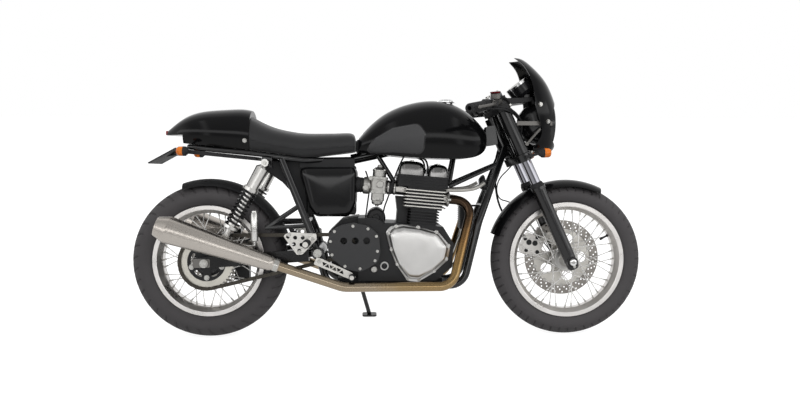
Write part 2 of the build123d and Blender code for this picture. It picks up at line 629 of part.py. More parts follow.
with BuildPart() as swingarm:
    add(rod((PIVOT_X, -ARM_IN - 2, PIVOT_Z), (PIVOT_X, ARM_IN + 2, PIVOT_Z), 24))
    for side in (-1, 1):
        add(slab([(PIVOT_X - 36, PIVOT_Z + 16), (REAR_X - 42, REAR_Z + 22),
                  ARM_BACK, ARM_FRONT],
                 *sorted((side * ARM_IN, side * ARM_OUT))))
        add(rod((PIVOT_X, side * (ARM_IN - 40), PIVOT_Z),
                (PIVOT_X - 66, side * (ARM_IN + 6), PIVOT_Z - 10), 17))
        add(block((SHOCK_LOW[0] - 16, SHOCK_LOW[0] + 16), sorted((side * ARM_IN, side * ARM_OUT)),
                  (REAR_Z, SHOCK_LOW[2] + 12)))
        add(rod((SHOCK_LOW[0], side * (ARM_OUT - 8), SHOCK_LOW[2]),
                (SHOCK_LOW[0], side * (SHOCK_LOW[1] - EYE_HALF - GAP), SHOCK_LOW[2]), 9))
    add(rod((REAR_X, -200, REAR_Z), (REAR_X, 200, REAR_Z), AXLE_R + GAP), mode=Mode.SUBTRACT)

with BuildPart() as rear_axle:
    add(rod((REAR_X, -ARM_OUT, REAR_Z), (REAR_X, ARM_OUT, REAR_Z), AXLE_R))
    add(rod((REAR_X, -ARM_OUT - 12, REAR_Z), (REAR_X, -ARM_OUT, REAR_Z), 16))
    add(rod((REAR_X, ARM_OUT, REAR_Z), (REAR_X, ARM_OUT + 12, REAR_Z), 16))

with BuildPart() as chain:
    with BuildSketch(side_plane(CHAIN_Y + CHAIN_W / 2)):
        with Locations((GEARBOX_X, GEARBOX_Z)):
            Circle(PITCH_FRONT + CHAIN_HALF)
        with Locations((REAR_X, REAR_Z)):
            Circle(PITCH_REAR + CHAIN_HALF)
        make_hull()
    extrude(amount=CHAIN_W)
    with BuildSketch(side_plane(CHAIN_Y + CHAIN_W / 2)):
        with Locations((GEARBOX_X, GEARBOX_Z)):
            Circle(PITCH_FRONT - CHAIN_HALF)
        with Locations((REAR_X, REAR_Z)):
            Circle(PITCH_REAR - CHAIN_HALF)
        make_hull()
    extrude(amount=CHAIN_W, mode=Mode.SUBTRACT)
    add(rod((REAR_X, CHAIN_Y - CHAIN_SLOT / 2, REAR_Z), (REAR_X, CHAIN_Y + CHAIN_SLOT / 2, REAR_Z),
            PITCH_REAR + CHAIN_HALF + 1), mode=Mode.SUBTRACT)

# Rear shock absorbers
SHOCK_AXIS = Vector(*SHOCK_LOW) - Vector(*SHOCK_TOP)
SHOCK_LONG = SHOCK_AXIS.length
SPRING_TOP = 126.0
SPRING_LOW = SHOCK_LONG - 52
with BuildPart() as shock_bodies:
    add(spun(SHOCK_TOP, SHOCK_LOW, [
        (12, 0), (12, 11), (24, 25), (112, 25), (112, 31), (SPRING_TOP - GAP, 31), (SPRING_TOP - GAP, 17),
        (SPRING_LOW + GAP, 17), (SPRING_LOW + GAP, 31), (SPRING_LOW + 12, 31), (SPRING_LOW + 16, 12),
        (SHOCK_LONG - 12, 11), (SHOCK_LONG - 12, 0)]))
    for eye in (SHOCK_TOP, SHOCK_LOW):
        add(rod((eye[0], eye[1] - EYE_HALF, eye[2]), (eye[0], eye[1] + EYE_HALF, eye[2]), 15))
    mirror(about=Plane.XZ)

COILS = 9
coil = (SPRING_LOW - SPRING_TOP) / COILS
ridges = [(SPRING_TOP, 22)]
for i in range(COILS):
    ridges += [(SPRING_TOP + (i + 0.12) * coil, 25), (SPRING_TOP + (i + 0.3) * coil, 30),
               (SPRING_TOP + (i + 0.7) * coil, 30), (SPRING_TOP + (i + 0.88) * coil, 25)]
ridges += [(SPRING_LOW, 22)]
with BuildPart() as shock_springs:
    add(spun(SHOCK_TOP, SHOCK_LOW, ridges))
    mirror(about=Plane.XZ)

# Engine
front_deck = on_engine(CYL_LONG + FIN_OUT, 0, 0)
rear_deck = on_engine(-CYL_LONG - FIN_OUT, 0, 0)
with BuildPart() as crankcase:
    add(slab([*stations([(252, 300), (258, 395)]),
              (front_deck[0], front_deck[2]), (rear_deck[0], rear_deck[2]),
              *stations([(-20, 480), (-60, 500), (-130, 500), (-130, 243), (185, 243)])],
             -CASE_HALF, CASE_HALF))
    add(slab(stations([(-129, 504), (-200, 490), (-252, 440), (-252, 410), (-240, 300), (-195, 262),
                       (-129, 243)]),
             -GEARBOX_HALF, CASE_HALF))
    add(block((station(-215), station(215)), (-SUMP_HALF, SUMP_HALF), (CRADLE_Z - 6, 250)))
    add(rod((GEARBOX_X, -GEARBOX_HALF, GEARBOX_Z), (GEARBOX_X, CHAIN_Y - CHAIN_W / 2, GEARBOX_Z),
            PITCH_FRONT - CHAIN_HALF - GAP))

with BuildPart() as cylinders:
    with BuildSketch(engine_plane(0)):
        Rectangle(2 * BARREL_LONG, 2 * CYL_HALF)
    extrude(amount=BARREL_H)
    for i in range(5):
        with BuildSketch(engine_plane(8 + 11.5 * i)):
            RectangleRounded(2 * (BARREL_LONG + FIN_OUT), 2 * (CYL_HALF + FIN_OUT), 18)
        extrude(amount=4)

with BuildPart() as cylinder_head:
    with BuildSketch(engine_plane(BARREL_H)):
        Rectangle(2 * CYL_LONG, 2 * CYL_HALF)
    extrude(amount=HEAD_H)
    for i in range(6):
        with BuildSketch(engine_plane(BARREL_H + 8 + 13.2 * i)):
            RectangleRounded(2 * (CYL_LONG + FIN_OUT + 3), 2 * (CYL_HALF + FIN_OUT), 18)
        extrude(amount=4.5)
    with BuildSketch(engine_plane(BARREL_H + 88)):
        with Locations(((PORT_FACE - INLET_FACE) / 2, 0)):
            RectangleRounded(PORT_FACE + INLET_FACE - 4, 2 * (CYL_HALF + 6), 14)
    extrude(amount=HEAD_H - 88)
    for side in (-1, 1):
        add(rod(on_engine(0, side * PORT_Y, PORT_UP), on_engine(PORT_FACE, side * PORT_Y, PORT_UP), 27))
        add(rod(on_engine(0, side * PORT_Y, INLET_UP), on_engine(-INLET_FACE, side * PORT_Y, INLET_UP), 27))

HEAD_UP = BARREL_H + HEAD_H
with BuildPart() as cam_covers:
    for x, half, tall in ((-62, 54, COVER_H), (47, 42, COVER_H - 6)):
        with BuildSketch(engine_plane(HEAD_UP)):
            with Locations((x, 0)):
                RectangleRounded(2 * half, 2 * (CYL_HALF + 2), 30)
        extrude(amount=tall, taper=18)
    crowns = cam_covers.faces().filter_by(lambda f: f.normal_at().dot(Vector(SIN_T, 0, COS_T)) > 0.99)
    fillet(crowns.edges(), 16)

CLUTCH_OUTLINE = stations([(-12, 440), (18, 468), (192, 440), (238, 384), (224, 334), (122, 250), (72, 254)])
with BuildPart() as clutch_cover:
    with BuildSketch(side_plane(-CASE_HALF)) as flat:
        Polygon(*CLUTCH_OUTLINE, align=None)
        fillet(flat.vertices(), 18)
    extrude(amount=COVER_T, taper=14)
    fillet(clutch_cover.faces().sort_by(Axis.Y)[0].edges(), 8)

with BuildPart() as alternator_cover:
    with BuildSketch(side_plane(CASE_HALF + COVER_T)) as flat:
        Polygon(*CLUTCH_OUTLINE, align=None)
        fillet(flat.vertices(), 18)
    extrude(amount=COVER_T)
    fillet(alternator_cover.faces().sort_by(Axis.Y)[-1].edges(), 12)

with BuildPart() as sprocket_cover:
    with BuildSketch(side_plane(-CASE_HALF)) as flat:
        Polygon(*stations([(-254, 330), (-254, 442), (-196, 474), (-36, 474), (-36, 312), (-190, 298)]),
                align=None)
        fillet(flat.vertices(), 34)
    extrude(amount=DRIVE_COVER_T)
    fillet(sprocket_cover.faces().sort_by(Axis.Y)[0].edges(), 7)
    with BuildSketch(side_plane(-CASE_HALF)):
        with Locations(*stations([(-187, 410), (-141, 410), (-95, 410)])):
            Circle(15)
    extrude(amount=DRIVE_COVER_T, mode=Mode.SUBTRACT)

CARB_X = -192.0
CARB_REAR = -236.0
with BuildPart() as carburettors:
    for side in (-1, 1):
        add(rod(on_engine(-INLET_FACE - GAP, side * PORT_Y, INLET_UP),
                on_engine(CARB_REAR, side * PORT_Y, INLET_UP), 22))
        for low, tall, long, wide in ((-58, 30, 54, 48), (-28, 58, 66, 60), (30, 10, 72, 68)):
            with BuildSketch(engine_plane(INLET_UP + low)):
                with Locations((CARB_X, side * PORT_Y)):
                    RectangleRounded(long, wide, 12)
            extrude(amount=tall)
        add(rod(on_engine(CARB_X, side * PORT_Y, INLET_UP + 40),
                on_engine(CARB_X, side * PORT_Y, INLET_UP + 64), 28))

with BuildPart() as airbox:
    add(block((SEAT_LOW_X + 6, on_engine(CARB_REAR, 0, INLET_UP - 22)[0] - GAP),
              (-BOX_HALF, BOX_HALF), (510, BOX_TOP)))

with BuildPart() as side_covers:
    with BuildSketch(side_plane(BOX_HALF + SIDE_T)) as flat:
        Polygon(*stations([(-374, 706), (-134, 706), (-138, 560), (-160, 504), (-304, 504), (-328, 544)]),
                align=None)
        fillet(flat.vertices(), 24)
    extrude(amount=SIDE_T)
    fillet(side_covers.faces().sort_by(Axis.Y)[-1].edges(), 20)
    mirror(about=Plane.XZ)

with BuildPart() as oil_cooler:
    add(block((COOLER_X, COOLER_X + 24), (-36, 36), (448, COOLER_TOP)))

# Exhaust
PORT = on_engine(PORT_FACE + GAP, PORT_Y, PORT_UP)
PIPE_LOW = 228.0
PIPE_REACH = DOWN_KNEE.X - 21 - PORT[0]
SILENCER_START = (station(-440), 192.0, 316.0)
SILENCER_END = (station(-905), 226.0, 478.0)
KINK = tuple(Vector(*SILENCER_START) + (Vector(*SILENCER_END) - Vector(*SILENCER_START))
             * ((PIPE_LOW - SILENCER_START[2]) / (SILENCER_END[2] - SILENCER_START[2])))
SILENCER_LONG = (Vector(*SILENCER_END) - Vector(*SILENCER_START)).length
with BuildPart() as header_pipes:
    add(bent_tube([PORT, on_engine(PORT_FACE + PIPE_REACH, PORT_Y, PORT_UP), (station(248), 168, PIPE_LOW),
                   KINK, SILENCER_START], [0.53 * PIPE_REACH, 70, 110], PIPE_R))
    mirror(about=Plane.XZ)

with BuildPart() as silencers:
    add(spun(SILENCER_START, SILENCER_END, [
        (GAP, 0), (GAP, 24), (30, 28), (SILENCER_LONG - 34, 54), (SILENCER_LONG - 6, 44), (SILENCER_LONG, 44),
        (SILENCER_LONG, 34), (SILENCER_LONG - 60, 34), (SILENCER_LONG - 60, 0)]))
    mirror(about=Plane.XZ)

# Tank, seat and tail
TANK_ROWS = stations([
    # x, floor, top, half width
    (-128, 764, 828, 72), (-50, 758, 906, 108), (70, 746, 966, 138), (190, 740, 982, 146),
    (300, 740, 950, 130), (375, 760, 888, 96), (400, 790, 856, 62)])
FILLER_X = station(236)
with BuildPart() as fuel_tank:
    add(bodywork(TANK_ROWS))
    add(block((station(-200), station(420)), (-TUNNEL, TUNNEL), (700, SPINE_START[2] + 20)),
        mode=Mode.SUBTRACT)
    add(rod((FILLER_X, 0, 940), (FILLER_X, 0, 1010), 31), mode=Mode.SUBTRACT)

with BuildPart() as filler_cap:
    add(rod((FILLER_X, 0, 940), (FILLER_X, 0, 984), 31 - GAP))

SEAT_ROWS = [
    (station(-138), 769, 828, 90), (station(-158), 766, 850, 98), (SEAT_LOW_X, SEAT_LOW_Z, 850, 112),
    (station(-470), cowl_floor(COWL_FRONT) - 13, 868, 118), (COWL_FRONT + GAP, COWL_FLOOR, 914, 118)]
with BuildPart() as seat:
    add(bodywork(SEAT_ROWS, ruled=True))

COWL_TOPS = stations([(-566, 938, 118), (-676, 943, 118), (-752, 937, 110), (-815, 922, 92), (-876, 887, 60),
                      (-912, 858, 34)])
COWL_END = COWL_TOPS[-1][0]
COWL_LIP = 836.0
with BuildPart() as tail_cowl:
    add(bodywork([(x, cowl_floor(x), top, half) for x, top, half in COWL_TOPS]))
    add(block((COWL_END - 20, COWL_BACK), (-120, 120), (COWL_FLOOR - 20, COWL_LIP)), mode=Mode.SUBTRACT)

with BuildPart() as tail_lamp:
    add(block((COWL_END - 8, COWL_END - GAP), (-18, 18), (COWL_LIP + 2, COWL_LIP + 18)))

PLATE_TOP = Vector(station(-864), 0, 784)
PLATE_LOW = Vector(station(-974), 0, 724)
PLATE_T = 5.0
PLATE_HALF = 92.0
PLATE_MID = (PLATE_TOP + PLATE_LOW) * 0.5
PLATE_OUT = (PLATE_TOP - PLATE_LOW).cross(Vector(0, 1, 0)).normalized()
ARM_END = PLATE_MID - PLATE_OUT * (PLATE_T - 1)
ARM_EDGE = (PLATE_TOP - PLATE_LOW).normalized() * 5
PLATE_FACE = (tuple(PLATE_MID), tuple(PLATE_OUT))
TRAY_FRONT = COWL_FRONT + 20
TRAY_T = 17.0
TRAY_TOP = RAIL_R * 2 + 1.6


def tray_top(x):
    """Height of the undertray's upper side, under the rails."""
    return cowl_floor(x) - TRAY_TOP


with BuildPart() as undertray:
    add(slab([(TRAY_FRONT, tray_top(TRAY_FRONT) - 2), (RAIL_REAR, tray_top(RAIL_REAR)),
              (RAIL_REAR, tray_top(RAIL_REAR) - TRAY_T), (TRAY_FRONT, tray_top(TRAY_FRONT) - TRAY_T)],
             -84, 84))
    holder_low = ARM_END - ARM_EDGE
    holder_high = ARM_END + ARM_EDGE
    add(slab([(RAIL_REAR + 1, tray_top(RAIL_REAR)), (holder_high.X, holder_high.Z),
              (holder_low.X, holder_low.Z), (RAIL_REAR + 1, tray_top(RAIL_REAR) - 12)], -26, 26))
    with BuildSketch(Plane(origin=PLATE_MID, x_dir=(0, 1, 0), z_dir=-PLATE_OUT)):
        Rectangle(2 * PLATE_HALF, (PLATE_TOP - PLATE_LOW).length)
    extrude(amount=PLATE_T)

FLASHER_X = station(-820)
FLASHER_Z = 768.0
with BuildPart() as rear_indicators:
    add(rod((FLASHER_X, 84, FLASHER_Z), (FLASHER_X, 132, FLASHER_Z), 7))
    add(spun((FLASHER_X + 20, 140, FLASHER_Z), (FLASHER_X + 19, 140, FLASHER_Z), [
        (0, 0), (0, 10), (10, 19), (40, 19), (48, 12), (48, 0)]))
    mirror(about=Plane.XZ)

# Rear sets and foot controls
with BuildPart() as footrest_plates:
    add(slab(stations([(-428, 432), (-404, 446), (-296, 440), (-294, 416), (-352, 356), (-374, 356)]),
             HANGER_Y, HANGER_Y + 7, 8))
    with BuildSketch(side_plane(HANGER_Y + 10)):
        with Locations(*stations([(-408, 428), (-380, 424), (-350, 424), (-385, 398), (-355, 396),
                                  (-364, 372)])):
            Circle(8)
    extrude(amount=20, mode=Mode.SUBTRACT)
    add(rod((station(-332), HANGER_Y + 7, 404), (station(-332), HANGER_Y + 92, 404), 11))
    mirror(about=Plane.XZ)

TOE = Vector(station(-154), HANGER_Y + 16, 268)
HEEL = Vector(PEDAL_X - 4, HANGER_Y + 16, 326)
PEDAL_T = 6.0
PEDAL_LONG = (TOE - HEEL).length
WEB = 15.5
with BuildPart() as foot_levers:
    pedal_plane = Plane(origin=HEEL, x_dir=TOE - HEEL, z_dir=(0, -1, 0))
    with BuildSketch(pedal_plane) as flat:
        Polygon((-14, -14), (-14, 16), (8, 19), (PEDAL_LONG - 8, 15), (PEDAL_LONG + 14, 4),
                (PEDAL_LONG + 10, -13), align=None)
        fillet(flat.vertices(), 4)
    extrude(amount=PEDAL_T)
    with BuildSketch(pedal_plane):
        for i in range(6):
            tip = 1 if i % 2 else -1
            mid = 24 + WEB * i
            Polygon((mid - 10, 2 - 7 * tip), (mid + 10, 2 - 7 * tip), (mid, 2 + 7 * tip), align=None)
    extrude(amount=PEDAL_T, mode=Mode.SUBTRACT)
    add(rod((TOE.X, HANGER_Y + 10, TOE.Z), (TOE.X, HANGER_Y + 52, TOE.Z), 9))
    mirror(about=Plane.XZ)

with BuildPart() as rear_caliper:
    add(block((REAR_X + 84, REAR_X + 146), (REAR_DISC_Y - 12, ARM_IN + 10), (REAR_Z - 96, REAR_Z - 40)))
    add(block((REAR_X + 80, REAR_X + 132), (REAR_DISC_Y - 4, REAR_DISC_Y + DISC_T + 4),
              (REAR_Z - 100, REAR_Z - 36)),
        mode=Mode.SUBTRACT)
    add(block((REAR_X + 104, REAR_X + 136), (ARM_IN, ARM_IN + 10),
              (REAR_Z - 45, arm_low(REAR_X + 104) - GAP)))

# Side stand, drawn as it stands on the ground of the leaned machine
with BuildPart() as side_stand:
    add(rod(tuple(STAND_AT + STAND_AXIS * GAP), tuple(STAND_AT + STAND_AXIS * 18), 14))
    add(rod(tuple(STAND_AT + STAND_AXIS * 11), tuple(STAND_FOOT + Vector(0, 0, 4)), 9))
    with BuildSketch(Plane(origin=STAND_FOOT, x_dir=(1, 0, 0), z_dir=(0, -SIN_L, COS_L))):
        RectangleRounded(64, 40, 12)
    extrude(amount=7)

PIECES = {
    "rear_tyre": rear_tyre, "rear_rim": rear_rim, "rear_spokes": rear_spokes.part, "rear_hub": rear_hub,
    "rear_sprocket": rear_sprocket.part, "rear_disc": rear_disc.part, "front_tyre": front_tyre,
    "front_rim": front_rim, "front_spokes": front_spokes.part, "front_hub": front_hub,
    "front_disc": front_disc.part, "fork_sliders": fork_sliders.part, "front_axle": front_axle.part,
    "fork_tubes": fork_tubes.part, "fork_covers": fork_covers.part, "lower_yoke": lower_yoke.part,
    "top_yoke": top_yoke.part, "clip_ons": clip_ons.part, "headlamp_shell": headlamp_shell,
    "headlamp_lens": headlamp_lens, "nose_fairing": nose_fairing.part,
    "lamp_brackets": lamp_brackets.part, "gauges": gauges.part, "front_mudguard": front_mudguard.part,
    "front_caliper": front_caliper.part, "front_indicators": front_indicators.part,
    "rear_mudguard": rear_mudguard.part, "frame": frame.part, "swingarm": swingarm.part,
    "rear_axle": rear_axle.part, "chain": chain.part, "shock_bodies": shock_bodies.part,
    "shock_springs": shock_springs.part, "crankcase": crankcase.part, "cylinders": cylinders.part,
    "cylinder_head": cylinder_head.part, "cam_covers": cam_covers.part,
    "clutch_cover": clutch_cover.part, "alternator_cover": alternator_cover.part,
    "sprocket_cover": sprocket_cover.part, "carburettors": carburettors.part, "airbox": airbox.part,
    "side_covers": side_covers.part, "oil_cooler": oil_cooler.part, "header_pipes": header_pipes.part,
    "silencers": silencers.part, "fuel_tank": fuel_tank.part, "filler_cap": filler_cap.part,
    "seat": seat.part, "tail_cowl": tail_cowl.part, "tail_lamp": tail_lamp.part,
    "undertray": undertray.part, "rear_indicators": rear_indicators.part,
    "footrest_plates": footrest_plates.part, "foot_levers": foot_levers.part,
    "rear_caliper": rear_caliper.part,
    "side_stand": side_stand.part}

# Lean onto the stand and centre the assembly over its origin
TURN = Rotation(-LEAN, 0, 0)
leaned = {label: TURN * piece for label, piece in PIECES.items()}
boxes = [piece.bounding_box() for piece in leaned.values()]
MID_X = (min(b.min.X for b in boxes) + max(b.max.X for b in boxes)) / 2
MID_Y = (min(b.min.Y for b in boxes) + max(b.max.Y for b in boxes)) / 2
SHIFT = Pos(-MID_X, -MID_Y, 0)
os.makedirs("parts", exist_ok=True)
for label, piece in leaned.items():
    placed = SHIFT * piece
    placed.label = label
    export_step(placed, f"parts/{label}.step")
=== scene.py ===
"""Studio scene of a cafe racer motorcycle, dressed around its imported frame.

Every piece is drawn in the upright machine's millimetres (X forward, Y left, Z up) and
then parked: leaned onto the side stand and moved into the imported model's frame.
"""

from __future__ import annotations

import json
import logging
import math
from dataclasses import dataclass, field, replace
from enum import Enum
from typing import Any, Iterable, Sequence

import bmesh
import bpy
from mathutils import Matrix, Vector
from mathutils.bvhtree import BVHTree

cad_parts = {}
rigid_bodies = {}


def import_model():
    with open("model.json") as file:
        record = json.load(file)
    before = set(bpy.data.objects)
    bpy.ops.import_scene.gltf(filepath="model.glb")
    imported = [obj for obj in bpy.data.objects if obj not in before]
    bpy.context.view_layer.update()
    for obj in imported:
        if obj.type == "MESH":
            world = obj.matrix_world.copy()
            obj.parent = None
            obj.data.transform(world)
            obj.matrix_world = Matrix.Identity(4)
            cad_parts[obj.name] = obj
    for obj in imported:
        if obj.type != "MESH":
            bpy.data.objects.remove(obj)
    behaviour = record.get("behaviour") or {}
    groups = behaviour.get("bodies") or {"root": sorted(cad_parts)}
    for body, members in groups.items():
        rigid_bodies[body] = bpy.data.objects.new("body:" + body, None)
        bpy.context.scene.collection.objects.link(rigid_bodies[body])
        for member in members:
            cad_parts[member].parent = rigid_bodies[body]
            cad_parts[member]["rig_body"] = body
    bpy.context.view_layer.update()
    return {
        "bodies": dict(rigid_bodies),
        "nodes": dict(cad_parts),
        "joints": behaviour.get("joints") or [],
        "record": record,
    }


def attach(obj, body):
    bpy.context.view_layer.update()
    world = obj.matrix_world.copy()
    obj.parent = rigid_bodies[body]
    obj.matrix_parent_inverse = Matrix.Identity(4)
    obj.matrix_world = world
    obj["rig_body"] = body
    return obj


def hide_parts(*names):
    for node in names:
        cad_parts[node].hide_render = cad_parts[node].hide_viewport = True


log = logging.getLogger("cafe_racer")

Point = tuple[float, float, float]
Flat = tuple[float, float]
Coords = Sequence[float]
Ray = tuple[Coords, Coords]
Tree = bpy.types.NodeTree
Node = bpy.types.Node
Socket = bpy.types.NodeSocket
Mesh = bpy.types.Mesh
Object = bpy.types.Object

MM = 0.001
LEAN = math.radians(10.0)
RAKE = math.radians(24.5)
TILT = math.radians(5.0)
FRONT_AXLE = Vector((745.0, 0.0, 317.82))
REAR_AXLE = Vector((-745.0, 0.0, 320.06))
GEARBOX_AT = Vector((-195.0, 0.0, 385.0))
DECK_X, DECK_Z = 132.0, 470.0
HEAD_TOP = 200.0
BORE_Y = 62.0
PORT_X, PORT_UP = 92.0, 112.0
LEG_Y = 98.0
RIGHT, LEFT = -1, 1
SIDES = (RIGHT, LEFT)
ACROSS = Vector((0.0, 1.0, 0.0))
UP = Vector((0.0, 0.0, 1.0))
FORWARD = Vector((1.0, 0.0, 0.0))


def on_fork(along: float, side: float = 0.0, ahead: float = 0.0) -> Vector:
    """Point along a fork leg from the axle, to one side and ahead of it."""
    return FRONT_AXLE + Vector((
        ahead * math.cos(RAKE) - along * math.sin(RAKE), side,
        along * math.cos(RAKE) + ahead * math.sin(RAKE)))


def on_engine(x: float, y: float, up: float) -> Vector:
    """Point in the tilted frame of the cylinders, from the middle of the crankcase deck."""
    return Vector((
        DECK_X + x * math.cos(TILT) + up * math.sin(TILT), y,
        DECK_Z - x * math.sin(TILT) + up * math.cos(TILT)))


def mirrored(points: Iterable[Coords], side: int) -> list[Vector]:
    """Points drawn for the left side, put on the given side."""
    return [Vector((p[0], side * p[1], p[2])) for p in points]


def arc_through(a: Flat, m: Flat, b: Flat, count: int) -> list[Flat]:
    """Points on the circle through three points, from the first to the last.

    Args:
        a: First point.
        m: A point between.
        b: Last point.
        count: Number of steps.

    Returns:
        count + 1 points.
    """
    d = 2 * (a[0] * (m[1] - b[1]) + m[0] * (b[1] - a[1]) + b[0] * (a[1] - m[1]))
    squares = [p[0] ** 2 + p[1] ** 2 for p in (a, m, b)]
    cx = (squares[0] * (m[1] - b[1]) + squares[1] * (b[1] - a[1]) + squares[2] * (a[1] - m[1])) / d
    cy = (squares[0] * (b[0] - m[0]) + squares[1] * (a[0] - b[0]) + squares[2] * (m[0] - a[0])) / d
    r = math.hypot(a[0] - cx, a[1] - cy)
    start, mid, end = (math.atan2(p[1] - cy, p[0] - cx) for p in (a, m, b))
    turn = (end - start) % math.tau
    if (mid - start) % math.tau > turn:
        turn -= math.tau
    return [(cx + r * math.cos(start + turn * i / count), cy + r * math.sin(start + turn * i / count))
            for i in range(count + 1)]


def rounded(outline: Sequence[Flat], radius: float, steps: int = 5) -> list[Flat]:
    """Closed outline with its corners rounded.

    Args:
        outline: Corners in order.
        radius: Corner radius, kept under half of the shorter side.
        steps: Steps round each corner.

    Returns:
        The rounded outline's points.
    """
    points: list[Flat] = []
    for i, corner in enumerate(outline):
        before, here = Vector(outline[i - 1]), Vector(corner)
        after = Vector(outline[(i + 1) % len(outline)])
        u, v = (before - here), (after - here)
        reach = min(radius / math.tan(u.angle(v) / 2), 0.46 * u.length, 0.46 * v.length)
        start, end = here + u.normalized() * reach, here + v.normalized() * reach
        for k in range(steps + 1):
            t = k / steps
            p = start * (1 - t) ** 2 + here * 2 * t * (1 - t) + end * t * t
            points.append((p.x, p.y))
    return points


def circle(radius: float, count: int, phase: float = 0.0) -> list[Flat]:
    """Points of a circle, turned by a phase in steps."""
    angles = [math.tau * (i + phase) / count for i in range(count)]
    return [(radius * math.cos(a), radius * math.sin(a)) for a in angles]


def between(p: float, q: float, r: float, s: float, t: float) -> float:
    """Smooth curve through four numbers, at a share t of the way from the second to the third."""
    bend = (2 * p - 5 * q + 4 * r - s) * t * t + (3 * q - p - 3 * r + s) * t ** 3
    return 0.5 * (2 * q + (r - p) * t + bend)


def linear(code: str) -> tuple[float, float, float, float]:
    """Linear colour of an sRGB hex code."""
    values = [int(code[i:i + 2], 16) / 255 for i in (1, 3, 5)]
    r, g, b = (v / 12.92 if v <= 0.04045 else ((v + 0.055) / 1.055) ** 2.4 for v in values)
    return (r, g, b, 1.0)


def cleared(owner: bpy.types.Material | bpy.types.World) -> Tree:
    """The empty node tree of a material or world."""
    owner.use_nodes = True
    owner.node_tree.nodes.clear()
    return owner.node_tree


def live(source: Any) -> Any:
    """A node's first live output; any other value as it is."""
    if isinstance(source, Node):
        return next(socket for socket in source.outputs if socket.enabled)
    return source


def feed(tree: Tree, node: Node, wires: dict[Any, Any]) -> None:
    """Fills a node's inputs.

    Args:
        tree: Tree that holds the node.
        node: Node whose inputs are filled.
        wires: Input socket to its value, or to the node, socket or list of them that feeds it.
    """
    for key, value in wires.items():
        for source in map(live, value if isinstance(value, list) else [value]):
            if isinstance(source, Socket):
                tree.links.new(source, node.inputs[key])
            else:
                node.inputs[key].default_value = source


def put(tree: Tree, kind: str, wires: dict[Any, Any] | None = None, **settings: Any) -> Node:
    """Adds a node with its own settings and fills its inputs."""
    node = tree.nodes.new(kind)
    for key, value in settings.items():
        setattr(node, key, value)
    feed(tree, node, wires or {})
    return node


def maths(tree: Tree, operation: str, *values: Any) -> Node:
    """Adds a math node on numbers, nodes or sockets."""
    return put(tree, "ShaderNodeMath", dict(enumerate(values)), operation=operation)


def vectors(tree: Tree, operation: str, *values: Any) -> Node:
    """Adds a vector math node on vectors, nodes or sockets."""
    return put(tree, "ShaderNodeVectorMath", dict(enumerate(values)), operation=operation)


def noise(tree: Tree, place: Any, size_mm: float, detail: float) -> Node:
    """Adds a noise pattern with a feature size in millimetres."""
    return put(tree, "ShaderNodeTexNoise", {"Vector": place, "Scale": 1 / (size_mm * MM), "Detail": detail})


def ranged(tree: Tree, value: Any, before: Flat, after: Flat, **settings: Any) -> Node:
    """Maps one range of values onto another."""
    return put(tree, "ShaderNodeMapRange", {
        "Value": value, "From Min": before[0], "From Max": before[1], "To Min": after[0],
        "To Max": after[1]}, **settings)


@dataclass(frozen=True)
class Surface:
    """A finish with slight mottling and a fine grain.

    Sizes are in millimetres; the patterns read Object coordinates, which are metres.
    """

    title: str
    slot: str
    colour: str
    roughness: float
    metallic: float = 0.0
    specular: float = 0.3
    mottle: float = 0.12
    mottle_mm: float = 60.0
    grain_mm: float = 1.2
    grain_depth: float = 0.05
    rough_spread: float = 0.06

    def build(self) -> bpy.types.Material:
        """Makes the material."""
        material = bpy.data.materials.new(self.title)
        tree = cleared(material)
        shader = put(tree, "ShaderNodeBsdfPrincipled", {
            "Base Color": linear(self.colour), "Roughness": self.roughness, "Metallic": self.metallic,
            "Specular IOR Level": self.specular})
        put(tree, "ShaderNodeOutputMaterial", {"Surface": shader})
        self.dress(tree, shader, put(tree, "ShaderNodeTexCoord").outputs["Object"])
        return material

    def dress(self, tree: Tree, shader: Node, place: Socket) -> None:
        """Adds the finish's pattern to its shader."""
        self.mottled(tree, shader, place)
        self.grained(tree, shader, place)

    def mottled(self, tree: Tree, shader: Node, place: Socket) -> None:
        """Varies colour and roughness in soft patches, as handling and dust do."""
        patches = noise(tree, place, self.mottle_mm, 4.0)
        base = Vector(linear(self.colour)[:3])
        dark, light = base * (1 - self.mottle), base * (1 + self.mottle)
        mix = put(tree, "ShaderNodeMix", {"Factor": patches, 6: (*dark, 1.0), 7: (*light, 1.0)},
                  data_type="RGBA")
        feed(tree, shader, {"Base Color": mix})
        self.roughened(tree, shader, patches, (0.3, 0.7), self.rough_spread, 0.02)

    def roughened(self, tree: Tree, shader: Node, pattern: Node, span: Flat, spread: float,
                  least: float) -> None:
        """Spreads the roughness over a span of a pattern's values."""
        rough = (max(least, self.roughness - spread), self.roughness + spread)
        feed(tree, shader, {"Roughness": ranged(tree, pattern, span, rough)})

    def grained(self, tree: Tree, shader: Node, place: Socket) -> None:
        """Raises a fine even grain."""
        self.raised(tree, shader, noise(tree, place, self.grain_mm, 3.0), 0.5)

    def raised(self, tree: Tree, shader: Node, pattern: Node, depth_mm: float, **settings: Any) -> None:
        """Turns a pattern into fine relief."""
        bump = put(tree, "ShaderNodeBump", {
            "Height": pattern, "Strength": self.grain_depth, "Distance": depth_mm * MM}, **settings)
        feed(tree, shader, {"Normal": bump})


@dataclass(frozen=True)
class Metal(Surface):
    """A finish of bare or plated metal."""

    metallic: float = 1.0


